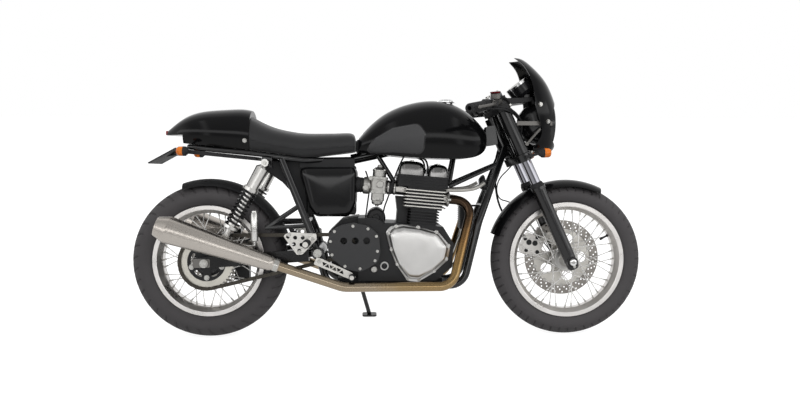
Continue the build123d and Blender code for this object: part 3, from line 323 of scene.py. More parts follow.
@dataclass(frozen=True)
class Brushed(Metal):
    """Metal with fine lines along one direction, drawn coarser than real so that they show."""

    stretch: Point = (0.06, 1.0, 1.0)
    turn: Point = (0.0, 0.0, 0.0)
    line_mm: float = 2.2

    def grained(self, tree: Tree, shader: Node, place: Socket) -> None:
        """Draws the brush lines into roughness and height."""
        along = put(tree, "ShaderNodeMapping",
                    {"Vector": place, "Rotation": self.turn, "Scale": self.stretch})
        lines = noise(tree, along, self.line_mm, 5.0)
        self.roughened(tree, shader, lines, (0.25, 0.75), 2 * self.rough_spread, 0.04)
        self.raised(tree, shader, lines, 0.3)


@dataclass(frozen=True)
class HeatTint(Brushed):
    """Steel pipe that is brown by the port and pales to straw further on."""

    port: Point = (0.0, 0.0, 0.0)
    reach_mm: float = 520.0
    stops: tuple[tuple[float, str], ...] = (
        (0.0, "#2a2522"), (1.0, "#9a8c78"), (0.28, "#4a3a2c"), (0.42, "#8a6a44"), (0.62, "#94794f"),
        (0.85, "#96815f"))

    def mottled(self, tree: Tree, shader: Node, place: Socket) -> None:
        """Colours the pipe by its distance from the port, with uneven bands."""
        away = vectors(tree, "DISTANCE", place, self.port)
        uneven = maths(tree, "MULTIPLY_ADD", noise(tree, place, 45, 3.0), 0.06, away)
        ramp = put(tree, "ShaderNodeValToRGB", {"Fac": maths(tree, "DIVIDE", uneven, self.reach_mm * MM)})
        bands = ramp.color_ramp.elements
        for i, (at, code) in enumerate(self.stops):
            band = bands[i] if i < 2 else bands.new(at)
            band.position = at
            band.color = linear(code)
        feed(tree, shader, {"Base Color": ramp})


@dataclass(frozen=True)
class Leather(Surface):
    """Seat cover with a pebbled grain, drawn coarser than real so that it shows."""

    pebble_mm: float = 2.4
    fold_mm: float = 9.0

    def grained(self, tree: Tree, shader: Node, place: Socket) -> None:
        """Raises pebbles with creases between them."""
        cells = put(tree, "ShaderNodeTexVoronoi", {
            "Vector": place, "Scale": 1 / (self.pebble_mm * MM)}, feature="SMOOTH_F1")
        height = maths(tree, "MULTIPLY_ADD", noise(tree, place, self.fold_mm, 5.0), 0.5, cells)
        self.raised(tree, shader, height, 0.6, invert=True)
        feed(tree, shader, {"Sheen Weight": 0.15})


@dataclass(frozen=True)
class FinPaint(Surface):
    """Black engine paint whose fin edges between two heights are machined bright."""

    edge_colour: str = "#c9c7c2"
    low_mm: float = 66.0
    high_mm: float = 148.0
    fore_mm: float = 78.0
    side_mm: float = 122.0
    deck: Point = (0.0, 0.0, 0.0)
    axis: Point = (0.0, 0.0, 1.0)
    fore: Point = (1.0, 0.0, 0.0)
    side: Point = (0.0, 1.0, 0.0)

    def dress(self, tree: Tree, shader: Node, place: Socket) -> None:
        """Bares the fins' outer faces within the band of heights."""
        super().dress(tree, shader, place)
        lean = vectors(tree, "DOT_PRODUCT", put(tree, "ShaderNodeTexCoord").outputs["Normal"], self.axis)
        edge = maths(tree, "LESS_THAN", maths(tree, "ABSOLUTE", lean), 0.5)
        rise = vectors(tree, "SUBTRACT", place, self.deck)
        height = vectors(tree, "DOT_PRODUCT", rise, self.axis)
        low = maths(tree, "GREATER_THAN", height, self.low_mm * MM)
        band = maths(tree, "MULTIPLY", low, maths(tree, "LESS_THAN", height, self.high_mm * MM))
        outer = []
        for way, half_mm in ((self.fore, self.fore_mm), (self.side, self.side_mm)):
            run = maths(tree, "ABSOLUTE", vectors(tree, "DOT_PRODUCT", rise, way))
            outer.append(maths(tree, "GREATER_THAN", run, half_mm * MM))
        bare = maths(tree, "MULTIPLY", band, maths(tree, "MULTIPLY", maths(tree, "MAXIMUM", *outer), edge))
        painted = shader.inputs["Base Color"].links[0].from_socket
        mix = put(tree, "ShaderNodeMix", {
            "Factor": bare, 6: painted, 7: linear(self.edge_colour)}, data_type="RGBA")
        feed(tree, shader, {"Base Color": mix, "Metallic": bare})


@dataclass(frozen=True)
class Clear(Surface):
    """Moulded lens or glass, clear through its depth."""

    ior: float = 1.49
    clarity: float = 1.0

    def dress(self, tree: Tree, shader: Node, place: Socket) -> None:
        """Lets light through and adds a faint waviness."""
        feed(tree, shader, {"IOR": self.ior, "Transmission Weight": self.clarity})
        self.grained(tree, shader, place)


class Finish(Enum):
    """The finishes on the machine."""

    BODY = Surface("two-pack black enamel", "body_black", "#0a0a0b", 0.14, specular=0.16, mottle=0.1,
                   mottle_mm=220, grain_mm=9, grain_depth=0.015, rough_spread=0.03)
    GLOSS = Surface("gloss black moulding", "body_black", "#0a0a0b", 0.12, specular=0.3, mottle_mm=220,
                    grain_mm=9, grain_depth=0.01, rough_spread=0.02)
    FRAME = Surface("black powder coat", "black_paint", "#0d0d0e", 0.18, specular=0.5, grain_mm=2.0,
                    grain_depth=0.04)
    SATIN = Surface("satin black bar paint", "bar_black", "#161617", 0.42, grain_depth=0.08)
    CASE = Surface("cast case paint", "engine_grey", "#2b2b2c", 0.46, grain_mm=1.6, grain_depth=0.2)
    FIN = FinPaint("engine black with bright fins", "engine_black", "#131314", 0.45, grain_mm=1.6,
                   grain_depth=0.15)
    ENGINE = Surface("engine black stove paint", "engine_black", "#131314", 0.42, grain_mm=1.6,
                     grain_depth=0.15)
    COVER = Metal("satin polished aluminium", "cover_alloy", "#c9c8c6", 0.34, mottle=0.08, grain_mm=1.0,
                  grain_depth=0.05, rough_spread=0.05)
    # Cam cover aluminium, drawn far darker than the cover aluminium above it: painted shade for the grey look
    # of the cam covers.
    DOME = Metal("polished aluminium", "cover_alloy", "#7d7c7b", 0.24, mottle=0.08, grain_depth=0.04)
    CAST = Metal("cast aluminium", "carburettor_alloy", "#aeada9", 0.46, grain_mm=1.8, grain_depth=0.25)
    DARK = Metal("dark anodised aluminium", "bracket_alloy", "#6e6c69", 0.42, grain_depth=0.1)
    BRACKET = Brushed("machined aluminium plate", "bracket_alloy", "#cfcdc8", 0.34, grain_depth=0.05)
    RIM = Metal("anodised rim aluminium", "rim_alloy", "#dedbd8", 0.3, mottle=0.05, grain_depth=0.02)
    HUB = Metal("satin hub aluminium", "hub_alloy", "#b2b1ae", 0.36, grain_depth=0.08)
    STEEL = Metal("zinc-plated steel", "fastener_steel", "#b9b8b4", 0.3, mottle=0.15, mottle_mm=12)
    SPOKE = Metal("stainless spoke wire", "spoke_steel", "#d2d1cf", 0.25, mottle=0.05)
    SPROCKET = Metal("hard anodised sprocket plate", "sprocket_steel", "#c2bfb6", 0.4)
    DISC = Metal("ground stainless disc", "disc_steel", "#8f8b86", 0.34, mottle=0.12, mottle_mm=25)
    CARRIER = Metal("machined disc carrier", "disc_steel", "#c6c3bd", 0.35)
    CHAIN = Metal("oiled chain steel", "chain_steel", "#45423d", 0.38, mottle=0.35, mottle_mm=9)
    # Fork tube chrome, drawn far darker and bluer than the polished chrome below: painted shade and painted
    # reflection for the tubes' dark streaked look.
    CHROME = Metal("hard chrome", "fork_chrome", "#8b8b91", 0.09, mottle=0.02, grain_depth=0.01,
                   rough_spread=0.02)
    CAP = Metal("polished chrome", "cap_chrome", "#dedede", 0.09, mottle=0.03, grain_depth=0.01,
                rough_spread=0.03)
    CALIPER = Metal("hard anodised caliper", "caliper_alloy", "#c9c6c2", 0.4, grain_depth=0.15)
    SHOCK = Metal("turned aluminium", "shock_alloy", "#c9c8c5", 0.27, grain_depth=0.05)
    SPRING = Surface("black spring lacquer", "spring_black", "#0f0f11", 0.22)
    PIPE = HeatTint("heat-tinted stainless pipe", "pipe_straw", "#c2a274", 0.25, grain_depth=0.012,
                    stretch=(1.0, 1.0, 1.0))
    SILENCER = Brushed("brushed stainless sheet", "silencer_steel", "#b8b2ab", 0.3, mottle=0.1, mottle_mm=150,
                       grain_depth=0.02, turn=(0.0, math.radians(19.3), 0.0))
    SOOT = Surface("sooty pipe bore", "silencer_steel", "#181513", 0.85)
    TYRE = Surface("moulded tyre rubber", "tyre_rubber", "#3e3c3d", 0.68, mottle=0.18, mottle_mm=35,
                   grain_mm=1.4, grain_depth=0.12)
    RUBBER = Surface("moulded black rubber", "dull_plastic", "#1b1b1c", 0.66, grain_mm=1.5, grain_depth=0.14)
    PAD = Surface("dull knee-pad rubber", "dull_plastic", "#343435", 0.5, grain_mm=1.5, grain_depth=0.12)
    PLASTIC = Surface("textured black plastic", "dull_plastic", "#1a1a1b", 0.58, grain_mm=1.1,
                      grain_depth=0.18)
    GAUGE = Surface("gloss gauge housing", "gauge_plastic", "#121214", 0.2)
    DIAL = Surface("matt dial card", "gauge_plastic", "#e8e6dd", 0.7)
    MARK = Surface("printed dial mark", "gauge_plastic", "#141414", 0.6)
    LEATHER = Leather("black seat leather", "seat_leather", "#19191a", 0.5, mottle=0.12, mottle_mm=45,
                      grain_depth=0.35)
    THREAD = Surface("waxed seat thread", "seat_leather", "#222223", 0.7)
    AMBER = Clear("amber indicator lens", "amber_lens", "#e07812", 0.16, clarity=0.35, grain_mm=3,
                  grain_depth=0.1)
    RED = Clear("red tail lens", "tail_lens", "#8c0d0d", 0.14, clarity=0.3, grain_mm=3, grain_depth=0.1)
    DEEP_RED = Metal("anodised dark red", "bar_black", "#5a1014", 0.3)
    GLASS = Clear("headlamp glass", "lamp_glass", "#f2f4f4", 0.04, clarity=0.7, ior=1.5, grain_mm=7,
                  grain_depth=0.06)
    BRAID = Brushed("braided steel hose", "fastener_steel", "#a9a7a2", 0.42, grain_depth=0.2)


class Solid:
    """A mesh under construction, in upright millimetres."""

    def __init__(self) -> None:
        """Starts empty."""
        self.verts: list[Vector] = []
        self.faces: list[tuple[int, ...]] = []

    def loft(self, rings: Sequence[Sequence[Vector]], closed: bool = False) -> "Solid":
        """Skins rings of equal count.

        Args:
            rings: Rings in order.
            closed: Whether the last ring joins the first; otherwise both ends are capped.

        Returns:
            This solid.
        """
        base, count = len(self.verts), len(rings[0])
        for ring in rings:
            self.verts.extend(Vector(p) for p in ring)
        spans = len(rings) if closed else len(rings) - 1
        for i in range(spans):
            a, b = base + i * count, base + (i + 1) % len(rings) * count
            for k in range(count):
                n = (k + 1) % count
                self.faces.append((a + k, a + n, b + n, b + k))
        if not closed:
            self.faces.append(tuple(range(base + count - 1, base - 1, -1)))
            self.faces.append(tuple(range(base + spans * count, base + (spans + 1) * count)))
        return self

    def lathe(self, origin: Coords, axis: Coords, profile: Sequence[Flat], steps: int = 48,
              ring: bool = False) -> "Solid":
        """Turns a profile of (along, radius) about an axis.

        Args:
            origin: Where along is zero.
            axis: Direction of the axis.
            profile: Corners in order.
            steps: Steps round the axis.
            ring: Whether the profile closes on itself.

        Returns:
            This solid.
        """
        w = Vector(axis).normalized()
        u = w.orthogonal().normalized()
        v = w.cross(u)
        spokes = [u * x + v * y for x, y in circle(1.0, steps)]
        rings = [[Vector(origin) + w * along + s * max(radius, 0.01) for s in spokes]
                 for along, radius in profile]
        return self.loft(rings, closed=ring)

    def rod(self, start: Coords, end: Coords, radius: float, chamfer: float = 0.8,
            steps: int = 24) -> "Solid":
        """Round bar with chamfered ends."""
        span = Vector(end) - Vector(start)
        long = span.length
        edge = min(chamfer, radius * 0.5, long * 0.3)
        return self.lathe(start, span, [(0, 0), (0, radius - edge), (edge, radius), (long - edge, radius),
                                        (long, radius - edge), (long, 0)], steps)

    def plate(self, outline: Sequence[Flat], origin: Coords, u: Vector, v: Vector, depth: float) -> "Solid":
        """Flat outline in the u, v plane, thickened by depth along their cross product."""
        w = u.cross(v).normalized() * depth
        ring = [Vector(origin) + u * p[0] + v * p[1] for p in outline]
        return self.loft([ring, [p + w for p in ring]])

    def dome(self, outline: Sequence[Flat], hub: Flat, face: float, side: int,
             profile: Sequence[Flat]) -> "Solid":
        """Cover on the machine's side, drawn in towards a hub and rounded as it rises.

        Args:
            outline: x and z of the cover's foot.
            hub: Point that the rings shrink to.
            face: Distance of the foot from the mid plane.
            side: RIGHT or LEFT.
            profile: Share of the outline and height of each ring.

        Returns:
            This solid.
        """
        arms = [Vector((x - hub[0], z - hub[1])) for x, z in outline]
        mean = sum(arm.length for arm in arms) / len(arms)
        rings = []
        for share, lift in profile:
            reach = [arm * share * (share + (1 - share) * mean / arm.length) for arm in arms]
            rings.append([Vector((hub[0] + arm.x, side * (face + lift), hub[1] + arm.y)) for arm in reach])
        return self.loft(rings)

    def slab(self, outline: Sequence[Flat], left: float, width: float) -> "Solid":
        """Side outline in x and z, as wide as given from its left face to the right."""
        return self.plate(outline, (0, left, 0), FORWARD, UP, width)

    def box(self, low: Coords, high: Coords) -> "Solid":
        """Box between two corners."""
        outline = [(low[0], low[2]), (high[0], low[2]), (high[0], high[2]), (low[0], high[2])]
        return self.slab(outline, high[1], high[1] - low[1])

    def mesh(self, name: str) -> Mesh:
        """The finished mesh, merged and facing outwards."""
        mesh = bpy.data.meshes.new(name)
        mesh.from_pydata([tuple(v) for v in self.verts], [], self.faces)
        tidy_mesh(mesh, 0.02)
        return mesh


def linked(name: str, data: bpy.types.ID) -> Object:
    """A new object in the scene."""
    thing = bpy.data.objects.new(name, data)
    bpy.context.scene.collection.objects.link(thing)
    return thing


def baked(holder: Object) -> Mesh:
    """The plain mesh of an object's curves or modifiers; the object goes."""
    mesh = bpy.data.meshes.new_from_object(holder.evaluated_get(bpy.context.evaluated_depsgraph_get()))
    bpy.data.objects.remove(holder)
    return mesh


def tidy_mesh(mesh: Mesh, gap: float) -> None:
    """Merges near vertices and turns faces outwards."""
    work = bmesh.new()
    work.from_mesh(mesh)
    bmesh.ops.remove_doubles(work, verts=work.verts, dist=gap)
    bmesh.ops.recalc_face_normals(work, faces=work.faces)
    work.to_mesh(mesh)
    work.free()


def tree_with(name: str, sizes: Sequence[str], counts: Sequence[str] = ()) -> tuple[Tree, Any]:
    """Starts a geometry tree.

    Args:
        name: The tree's name.
        sizes: Names of its size inputs.
        counts: Names of its whole-number inputs.

    Returns:
        The tree and its input sockets by name.
    """
    tree = bpy.data.node_groups.new(name, "GeometryNodeTree")
    labels = [("Geometry", "Geometry"), *((n, "Int") for n in counts), *((n, "Float") for n in sizes),
              ("Material", "Material")]
    for label, kind in labels:
        tree.interface.new_socket(name=label, in_out="INPUT", socket_type=f"NodeSocket{kind}")
    tree.interface.new_socket(name="Geometry", in_out="OUTPUT", socket_type="NodeSocketGeometry")
    return tree, put(tree, "NodeGroupInput").outputs


def close_tree(tree: Tree, shape: Node, source: Any) -> Tree:
    """Ends a geometry tree by realizing its instances and setting the material."""
    real = put(tree, "GeometryNodeRealizeInstances", {"Geometry": shape})
    dressed = put(tree, "GeometryNodeSetMaterial", {"Geometry": real, "Material": source["Material"]})
    put(tree, "NodeGroupOutput", {"Geometry": dressed})
    return tree


def joined(tree: Tree, *shapes: Node) -> Node:
    """Joins geometries."""
    return put(tree, "GeometryNodeJoinGeometry", {"Geometry": list(shapes)})


def thickened(tree: Tree, face: Node, depth: Socket) -> Node:
    """Plate of a depth from a flat face."""
    thick = put(tree, "GeometryNodeExtrudeMesh", {"Mesh": face, "Offset Scale": depth, "Individual": False})
    return joined(tree, thick, put(tree, "GeometryNodeFlipFaces", {"Mesh": face}))


def shifted(tree: Tree, shape: Node, axis: str, size: Socket, share: float) -> Node:
    """A shape stood on its side and moved along an axis by a share of a size."""
    shift = put(tree, "ShaderNodeCombineXYZ", {axis: maths(tree, "MULTIPLY", size, share)})
    return put(tree, "GeometryNodeTransform", {
        "Geometry": shape, "Translation": shift, "Rotation": (math.radians(90), 0.0, 0.0)})


def attribute(tree: Tree, name: str, kind: str) -> Node:
    """Reads a named attribute."""
    return put(tree, "GeometryNodeInputNamedAttribute", {"Name": name}, data_type=kind)


def fastener_tree() -> Tree:
    """Heads on washers, one on each point and turned to its axis attribute."""
    sizes = ("Head Radius", "Head Height", "Washer Radius", "Washer Height")
    tree, source = tree_with("Fasteners", sizes, ["Sides"])
    points = put(tree, "GeometryNodeMeshToPoints", {"Mesh": source["Geometry"]})
    head = put(tree, "GeometryNodeMeshCylinder", {
        "Vertices": source["Sides"], "Radius": source["Head Radius"], "Depth": source["Head Height"]})
    half = maths(tree, "MULTIPLY_ADD", source["Head Height"], 0.5, source["Washer Height"])
    lift = put(tree, "ShaderNodeCombineXYZ", {"Z": half})
    raised = put(tree, "GeometryNodeTransform", {"Geometry": head, "Translation": lift})
    washer = put(tree, "GeometryNodeMeshCylinder", {
        "Vertices": 16, "Radius": source["Washer Radius"], "Depth": source["Washer Height"]})
    both = joined(tree, raised, washer)
    align = put(tree, "FunctionNodeAlignRotationToVector",
                {"Vector": attribute(tree, "axis", "FLOAT_VECTOR")}, axis="Z")
    copies = put(tree, "GeometryNodeInstanceOnPoints",
                 {"Points": points, "Instance": both, "Rotation": align})
    return close_tree(tree, copies, source)


def plate_tree() -> Tree:
    """Plate from closed edge loops, drilled at points that carry a hole radius."""
    tree, source = tree_with("Drilled plate", ["Thickness"])
    hole = attribute(tree, "hole", "FLOAT")
    drilled = put(tree, "FunctionNodeCompare", {0: hole, 1: 0.0}, data_type="FLOAT", operation="GREATER_THAN")
    split = put(tree, "GeometryNodeSeparateGeometry", {"Geometry": source["Geometry"], "Selection": drilled})
    loops = put(tree, "GeometryNodeMeshToCurve", {"Mesh": split.outputs["Inverted"]})
    points = put(tree, "GeometryNodeMeshToPoints", {"Mesh": split})
    ring = put(tree, "GeometryNodeCurvePrimitiveCircle", {"Resolution": 14, "Radius": 1.0})
    copies = put(tree, "GeometryNodeInstanceOnPoints", {"Points": points, "Instance": ring, "Scale": hole})
    rings = put(tree, "GeometryNodeRealizeInstances", {"Geometry": copies})
    face = put(tree, "GeometryNodeFillCurve", {"Curve": joined(tree, loops, rings)})
    return close_tree(tree, thickened(tree, face, source["Thickness"]), source)


def link_tree() -> Tree:
    """Roller chain: a pair of side plates and two rollers on each point, spread by an attribute."""
    sizes = ("Pitch", "Plate Height", "Plate Thickness", "Half Width", "Roller Radius")
    tree, source = tree_with("Chain links", sizes)
    long = maths(tree, "ADD", source["Pitch"], source["Plate Height"])
    outline = put(tree, "GeometryNodeCurvePrimitiveQuadrilateral",
                  {"Width": long, "Height": source["Plate Height"]})
    bend = maths(tree, "MULTIPLY", source["Plate Height"], 0.48)
    soft = put(tree, "GeometryNodeFilletCurve", {"Curve": outline, "Count": 4, "Radius": bend}, mode="POLY")
    face = put(tree, "GeometryNodeFillCurve", {"Curve": soft}, mode="NGONS")
    plate = thickened(tree, face, source["Plate Thickness"])
    parts = [shifted(tree, plate, "Y", source["Half Width"], side) for side in (-1.0, 1.0)]
    wide = maths(tree, "MULTIPLY", source["Half Width"], 2.0)
    roller = put(tree, "GeometryNodeMeshCylinder",
                 {"Vertices": 10, "Radius": source["Roller Radius"], "Depth": wide})
    parts += [shifted(tree, roller, "X", source["Pitch"], side) for side in (-0.5, 0.5)]
    link = joined(tree, *parts)
    points = put(tree, "GeometryNodeMeshToPoints", {"Mesh": source["Geometry"]})
    align = put(tree, "FunctionNodeAlignRotationToVector", {
        "Vector": attribute(tree, "axis", "FLOAT_VECTOR")}, axis="X", pivot_axis="Y")
    scale = put(tree, "ShaderNodeCombineXYZ", {"X": 1.0, "Y": attribute(tree, "spread", "FLOAT"), "Z": 1.0})
    copies = put(tree, "GeometryNodeInstanceOnPoints", {
        "Points": points, "Instance": link, "Rotation": align, "Scale": scale})
    return close_tree(tree, copies, source)


def spring_tree() -> Tree:
    """Coil spring along +Z from the origin."""
    tree, source = tree_with("Coil spring", ("Turns", "Height", "Coil Radius", "Wire Radius"))
    spiral = put(tree, "GeometryNodeCurveSpiral", {
        "Resolution": 28, "Rotations": source["Turns"], "Start Radius": source["Coil Radius"],
        "End Radius": source["Coil Radius"], "Height": source["Height"]})
    wire = put(tree, "GeometryNodeCurvePrimitiveCircle", {"Resolution": 10, "Radius": source["Wire Radius"]})
    coil = put(tree, "GeometryNodeCurveToMesh", {"Curve": spiral, "Profile Curve": wire, "Fill Caps": True})
    return close_tree(tree, coil, source)


class Recipe(Enum):
    """Geometry trees for what repeats."""

    FASTENERS = "fasteners"
    PLATE = "plate"
    LINKS = "links"
    SPRING = "spring"


RECIPE_MAKERS = {Recipe.FASTENERS: fastener_tree, Recipe.PLATE: plate_tree, Recipe.LINKS: link_tree,
                 Recipe.SPRING: spring_tree}


@dataclass(frozen=True)
class Head:
    """Sizes of a fastener: head radius, height, sides, washer radius and height."""

    radius: float
    height: float
    sides: int = 6
    washer: float = 0.0
    washer_height: float = 1.2

    def inputs(self) -> dict[str, float]:
        """The tree's inputs by name."""
        return {"Sides": self.sides, "Head Radius": self.radius, "Head Height": self.height,
                "Washer Radius": self.washer or self.radius * 1.3, "Washer Height": self.washer_height}


M8 = Head(6.5, 6.0)
M10 = Head(8.5, 7.0)
SCREW = Head(4.2, 3.5, sides=14)
DOME = Head(7.5, 5.0, sides=18, washer=9.0)


@dataclass
class Bench:
    """Makes pieces, parks them and hands them to the frame."""

    nodes: dict[str, Object]
    matrix: Matrix
    body: str = "chassis"
    materials: dict[Finish, bpy.types.Material] = field(default_factory=dict)
    trees: dict[Recipe, Tree] = field(default_factory=dict)
    solids: dict[str, BVHTree] = field(default_factory=dict)

    @classmethod
    def for_frame(cls, frame: dict[str, Any]) -> "Bench":
        """Reads the parked place of the front axle, which fixes where the whole machine stands."""
        at = next(Vector(j["pos_m"]) for j in frame["joints"] if j["name"] == "front_wheel_spin")
        turn = Matrix.Rotation(-LEAN, 4, "X") @ Matrix.Scale(MM, 4)
        return cls(frame["nodes"], Matrix.Translation(at - turn @ FRONT_AXLE) @ turn)

    def on(self, body: str) -> "Bench":
        """The same bench, set up for another body."""
        return replace(self, body=body)

    def spot(self, point: Coords) -> Vector:
        """Parked place of an upright point, in metres."""
        return self.matrix @ Vector(point)

    def heading(self, direction: Coords) -> Vector:
        """Parked unit direction of an upright one."""
        return (self.matrix.to_3x3() @ Vector(direction)).normalized()

    def material(self, finish: Finish) -> bpy.types.Material:
        """The finish's material, made once."""
        if finish not in self.materials:
            self.materials[finish] = self.placed(finish).build()
        return self.materials[finish]

    def placed(self, finish: Finish) -> Surface:
        """The finish with its pattern's parked place filled in."""
        surface = finish.value
        if isinstance(surface, FinPaint):
            return replace(
                surface, deck=tuple(self.spot(on_engine(0, 0, 0))), side=tuple(self.heading(ACROSS)),
                axis=tuple(self.heading((math.sin(TILT), 0, math.cos(TILT)))),
                fore=tuple(self.heading((math.cos(TILT), 0, -math.sin(TILT)))))
        if isinstance(surface, HeatTint):
            return replace(surface, port=tuple(self.spot(on_engine(PORT_X, -BORE_Y, PORT_UP))))
        return surface

    def finish_object(self, mesh: Mesh, name: str, finish: Finish, replaces: Sequence[str] = (),
                      bevel: float = 0.0, sharp: float = 34.0, slot: str = "") -> Object:
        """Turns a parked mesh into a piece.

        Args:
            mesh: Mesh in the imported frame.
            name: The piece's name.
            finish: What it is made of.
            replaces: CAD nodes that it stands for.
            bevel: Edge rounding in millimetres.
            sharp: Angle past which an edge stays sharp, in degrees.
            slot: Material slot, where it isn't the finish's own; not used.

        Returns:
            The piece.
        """
        if not mesh.materials:
            mesh.materials.append(self.material(finish))
        mesh.shade_smooth()
        mesh.set_sharp_from_angle(angle=math.radians(sharp))
        piece = linked(name, mesh)
        if bevel:
            soften = piece.modifiers.new("edges", "BEVEL")
            soften.width = bevel * MM
            soften.segments = 3
            soften.limit_method = "ANGLE"
            soften.angle_limit = math.radians(sharp)
            soften.harden_normals = True
        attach(piece, self.body)
        if replaces:
            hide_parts(*replaces)
        log.info("%s on %s: %d faces", name, self.body, len(mesh.polygons))
        return piece

    def piece(self, name: str, solid: Solid, finish: Finish, **options: Any) -> Object:
        """Parks a solid and finishes it as a piece."""
        mesh = solid.mesh(name)
        mesh.transform(self.matrix)
        return self.finish_object(mesh, name, finish, **options)

    def copy(self, node: str, finish: Finish, bevel: float = 0.0, slot: str = "") -> Object:
        """Replaces a CAD node by a merged, smoothly shaded copy of itself.

        Args:
            node: The CAD node.
            finish: What it is made of.
            bevel: Edge rounding in millimetres.
            slot: Material slot, where it isn't the finish's own; passed on, but not used.

        Returns:
            The new piece.
        """
        source = self.nodes[node]
        mesh = bpy.data.meshes.new(f"{node}_fine")
        work = bmesh.new()
        work.from_mesh(source.data)
        bmesh.ops.remove_doubles(work, verts=work.verts, dist=0.004 * MM)
        bmesh.ops.dissolve_limit(work, angle_limit=math.radians(0.2), verts=work.verts, edges=work.edges)
        work.to_mesh(mesh)
        work.free()
        carrier = self.on(source["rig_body"])
        return carrier.finish_object(mesh, mesh.name, finish, replaces=[node], bevel=bevel,
                                     sharp=30.0, slot=slot)

    def copies(self, *rows: tuple[str, Finish, float]) -> None:
        """Replaces CAD nodes, each given with its finish and edge rounding."""
        for row in rows:
            self.copy(*row)

    def grow(self, recipe: Recipe, mesh: Mesh, finish: Finish, sizes: dict[str, float]) -> Mesh:
        """Runs a geometry tree on a mesh.

        Args:
            recipe: Which tree.
            mesh: What it starts from, in upright millimetres or its own plane.
            finish: Material of the result.
            sizes: The tree's inputs by name.

        Returns:
            A plain mesh.
        """
        if recipe not in self.trees:
            self.trees[recipe] = RECIPE_MAKERS[recipe]()
        tree = self.trees[recipe]
        holder = linked(f"{recipe.value}_base", mesh)
        modifier = holder.modifiers.new(recipe.value, "NODES")
        modifier.node_group = tree
        values = {**sizes, "Material": self.material(finish)}
        for item in tree.interface.items_tree:
            if item.in_out == "INPUT" and item.name in values:
                modifier[item.identifier] = values[item.name]
        return baked(holder)

    def fasteners(self, name: str, spots: Sequence[Ray], head: Head, finish: Finish = Finish.STEEL) -> Object:
        """Heads at points with outward axes, as one piece."""
        mesh = bpy.data.meshes.new(name)
        mesh.from_pydata([tuple(p) for p, _ in spots], [], [])
        axes = mesh.attributes.new("axis", "FLOAT_VECTOR", "POINT")
        for item, (_, axis) in zip(axes.data, spots):
            item.vector = Vector(axis).normalized()
        grown = self.grow(Recipe.FASTENERS, mesh, finish, head.inputs())
        grown.transform(self.matrix)
        return self.finish_object(grown, name, finish)

    def drilled(self, name: str, outlines: Sequence[Sequence[Flat]], holes: Sequence[Point], thickness: float,
                origin: Coords, finish: Finish, **options: Any) -> Object:
        """Upright plate with cut-outs and drilled holes, thickened towards the right.

        Args:
            name: The piece's name.
            outlines: Outer outline, then cut-outs, as x and z.
            holes: x, z and radius of each drilled hole.
            thickness: Depth of the plate.
            origin: Where the plate's zero is.
            finish: What it is made of.
            options: Passed on to the piece.

        Returns:
            The piece.
        """
        verts: list[Point] = []
        edges: list[tuple[int, int]] = []
        for outline in outlines:
            base = len(verts)
            verts.extend((p[0], p[1], 0.0) for p in outline)
            edges.extend((base + i, base + (i + 1) % len(outline)) for i in range(len(outline)))
        plain = len(verts)
        verts.extend((x, y, 0.0) for x, y, _ in holes)
        mesh = bpy.data.meshes.new(name)
        mesh.from_pydata(verts, edges, [])
        radii = mesh.attributes.new("hole", "FLOAT", "POINT")
        for i, (_, _, radius) in enumerate(holes):
            radii.data[plain + i].value = radius
        grown = self.grow(Recipe.PLATE, mesh, finish, {"Thickness": thickness})
        tidy_mesh(grown, 0.01)
        basis = Matrix((FORWARD, UP, -ACROSS)).transposed().to_4x4()
        grown.transform(self.matrix @ Matrix.Translation(Vector(origin)) @ basis)
        return self.finish_object(grown, name, finish, **options)

    def spring(self, name: str, start: Coords, end: Coords, turns: float, coil: float, wire: float,
               finish: Finish) -> Object:
        """Coil spring between two points."""
        span = Vector(end) - Vector(start)
        grown = self.grow(Recipe.SPRING, bpy.data.meshes.new(name), finish, {
            "Turns": turns, "Height": span.length, "Coil Radius": coil, "Wire Radius": wire})
        turn = UP.rotation_difference(span.normalized()).to_matrix().to_4x4()
        grown.transform(self.matrix @ Matrix.Translation(Vector(start)) @ turn)
        return self.finish_object(grown, name, finish)

    def cable(self, name: str, routes: Sequence[Sequence[Coords]], radius: float, finish: Finish) -> Object:
        """Held cables or hoses along smooth routes, as one mesh piece.

        Args:
            name: The piece's name.
            routes: Control points of each cable.
            radius: Cable radius in millimetres.
            finish: What it is made of.

        Returns:
            The piece.
        """
        curve = bpy.data.curves.new(name, "CURVE")
        curve.dimensions = "3D"
        curve.bevel_depth = radius * MM
        curve.bevel_resolution = 3
        curve.use_fill_caps = True
        for route in routes:
            line = curve.splines.new("NURBS")
            line.points.add(len(route) - 1)
            for point, at in zip(line.points, route):
                point.co = (*self.spot(at), 1.0)
            line.order_u = 3
            line.use_endpoint_u = True
            line.resolution_u = 8
        mesh = baked(linked(f"{name}_route", curve))
        mesh.materials.clear()
        return self.finish_object(mesh, name, finish)

    def hit(self, node: str, start: Coords, direction: Coords) -> tuple[Vector, Vector] | None:
        """First point and normal, upright, where a ray meets a CAD node."""
        if node not in self.solids:
            mesh = self.nodes[node].data
            self.solids[node] = BVHTree.FromPolygons([v.co for v in mesh.vertices],
                                                     [p.vertices for p in mesh.polygons])
        point, normal, _, _ = self.solids[node].ray_cast(self.spot(start), self.heading(direction))
        if point is None:
            return None
        back = self.matrix.inverted()
        return back @ point, (back.to_3x3() @ normal).normalized()


# Tread grooves, as shares of the crown's half width or of a groove's pitch, with depths in millimetres.
RING_AT, RING_HALF, RING_DEPTH = 0.2, 0.035, 2.2
CUT_FROM, CUT_TO, CUT_HALF, CUT_DEPTH = 0.26, 0.985, 0.09, 4.6


class Tread(Enum):
    """Tread pattern: number of groove pairs round the tyre, slant, centre groove."""

    RIBBED = (52, 0.45, True)
    SPORT = (38, 0.95, False)


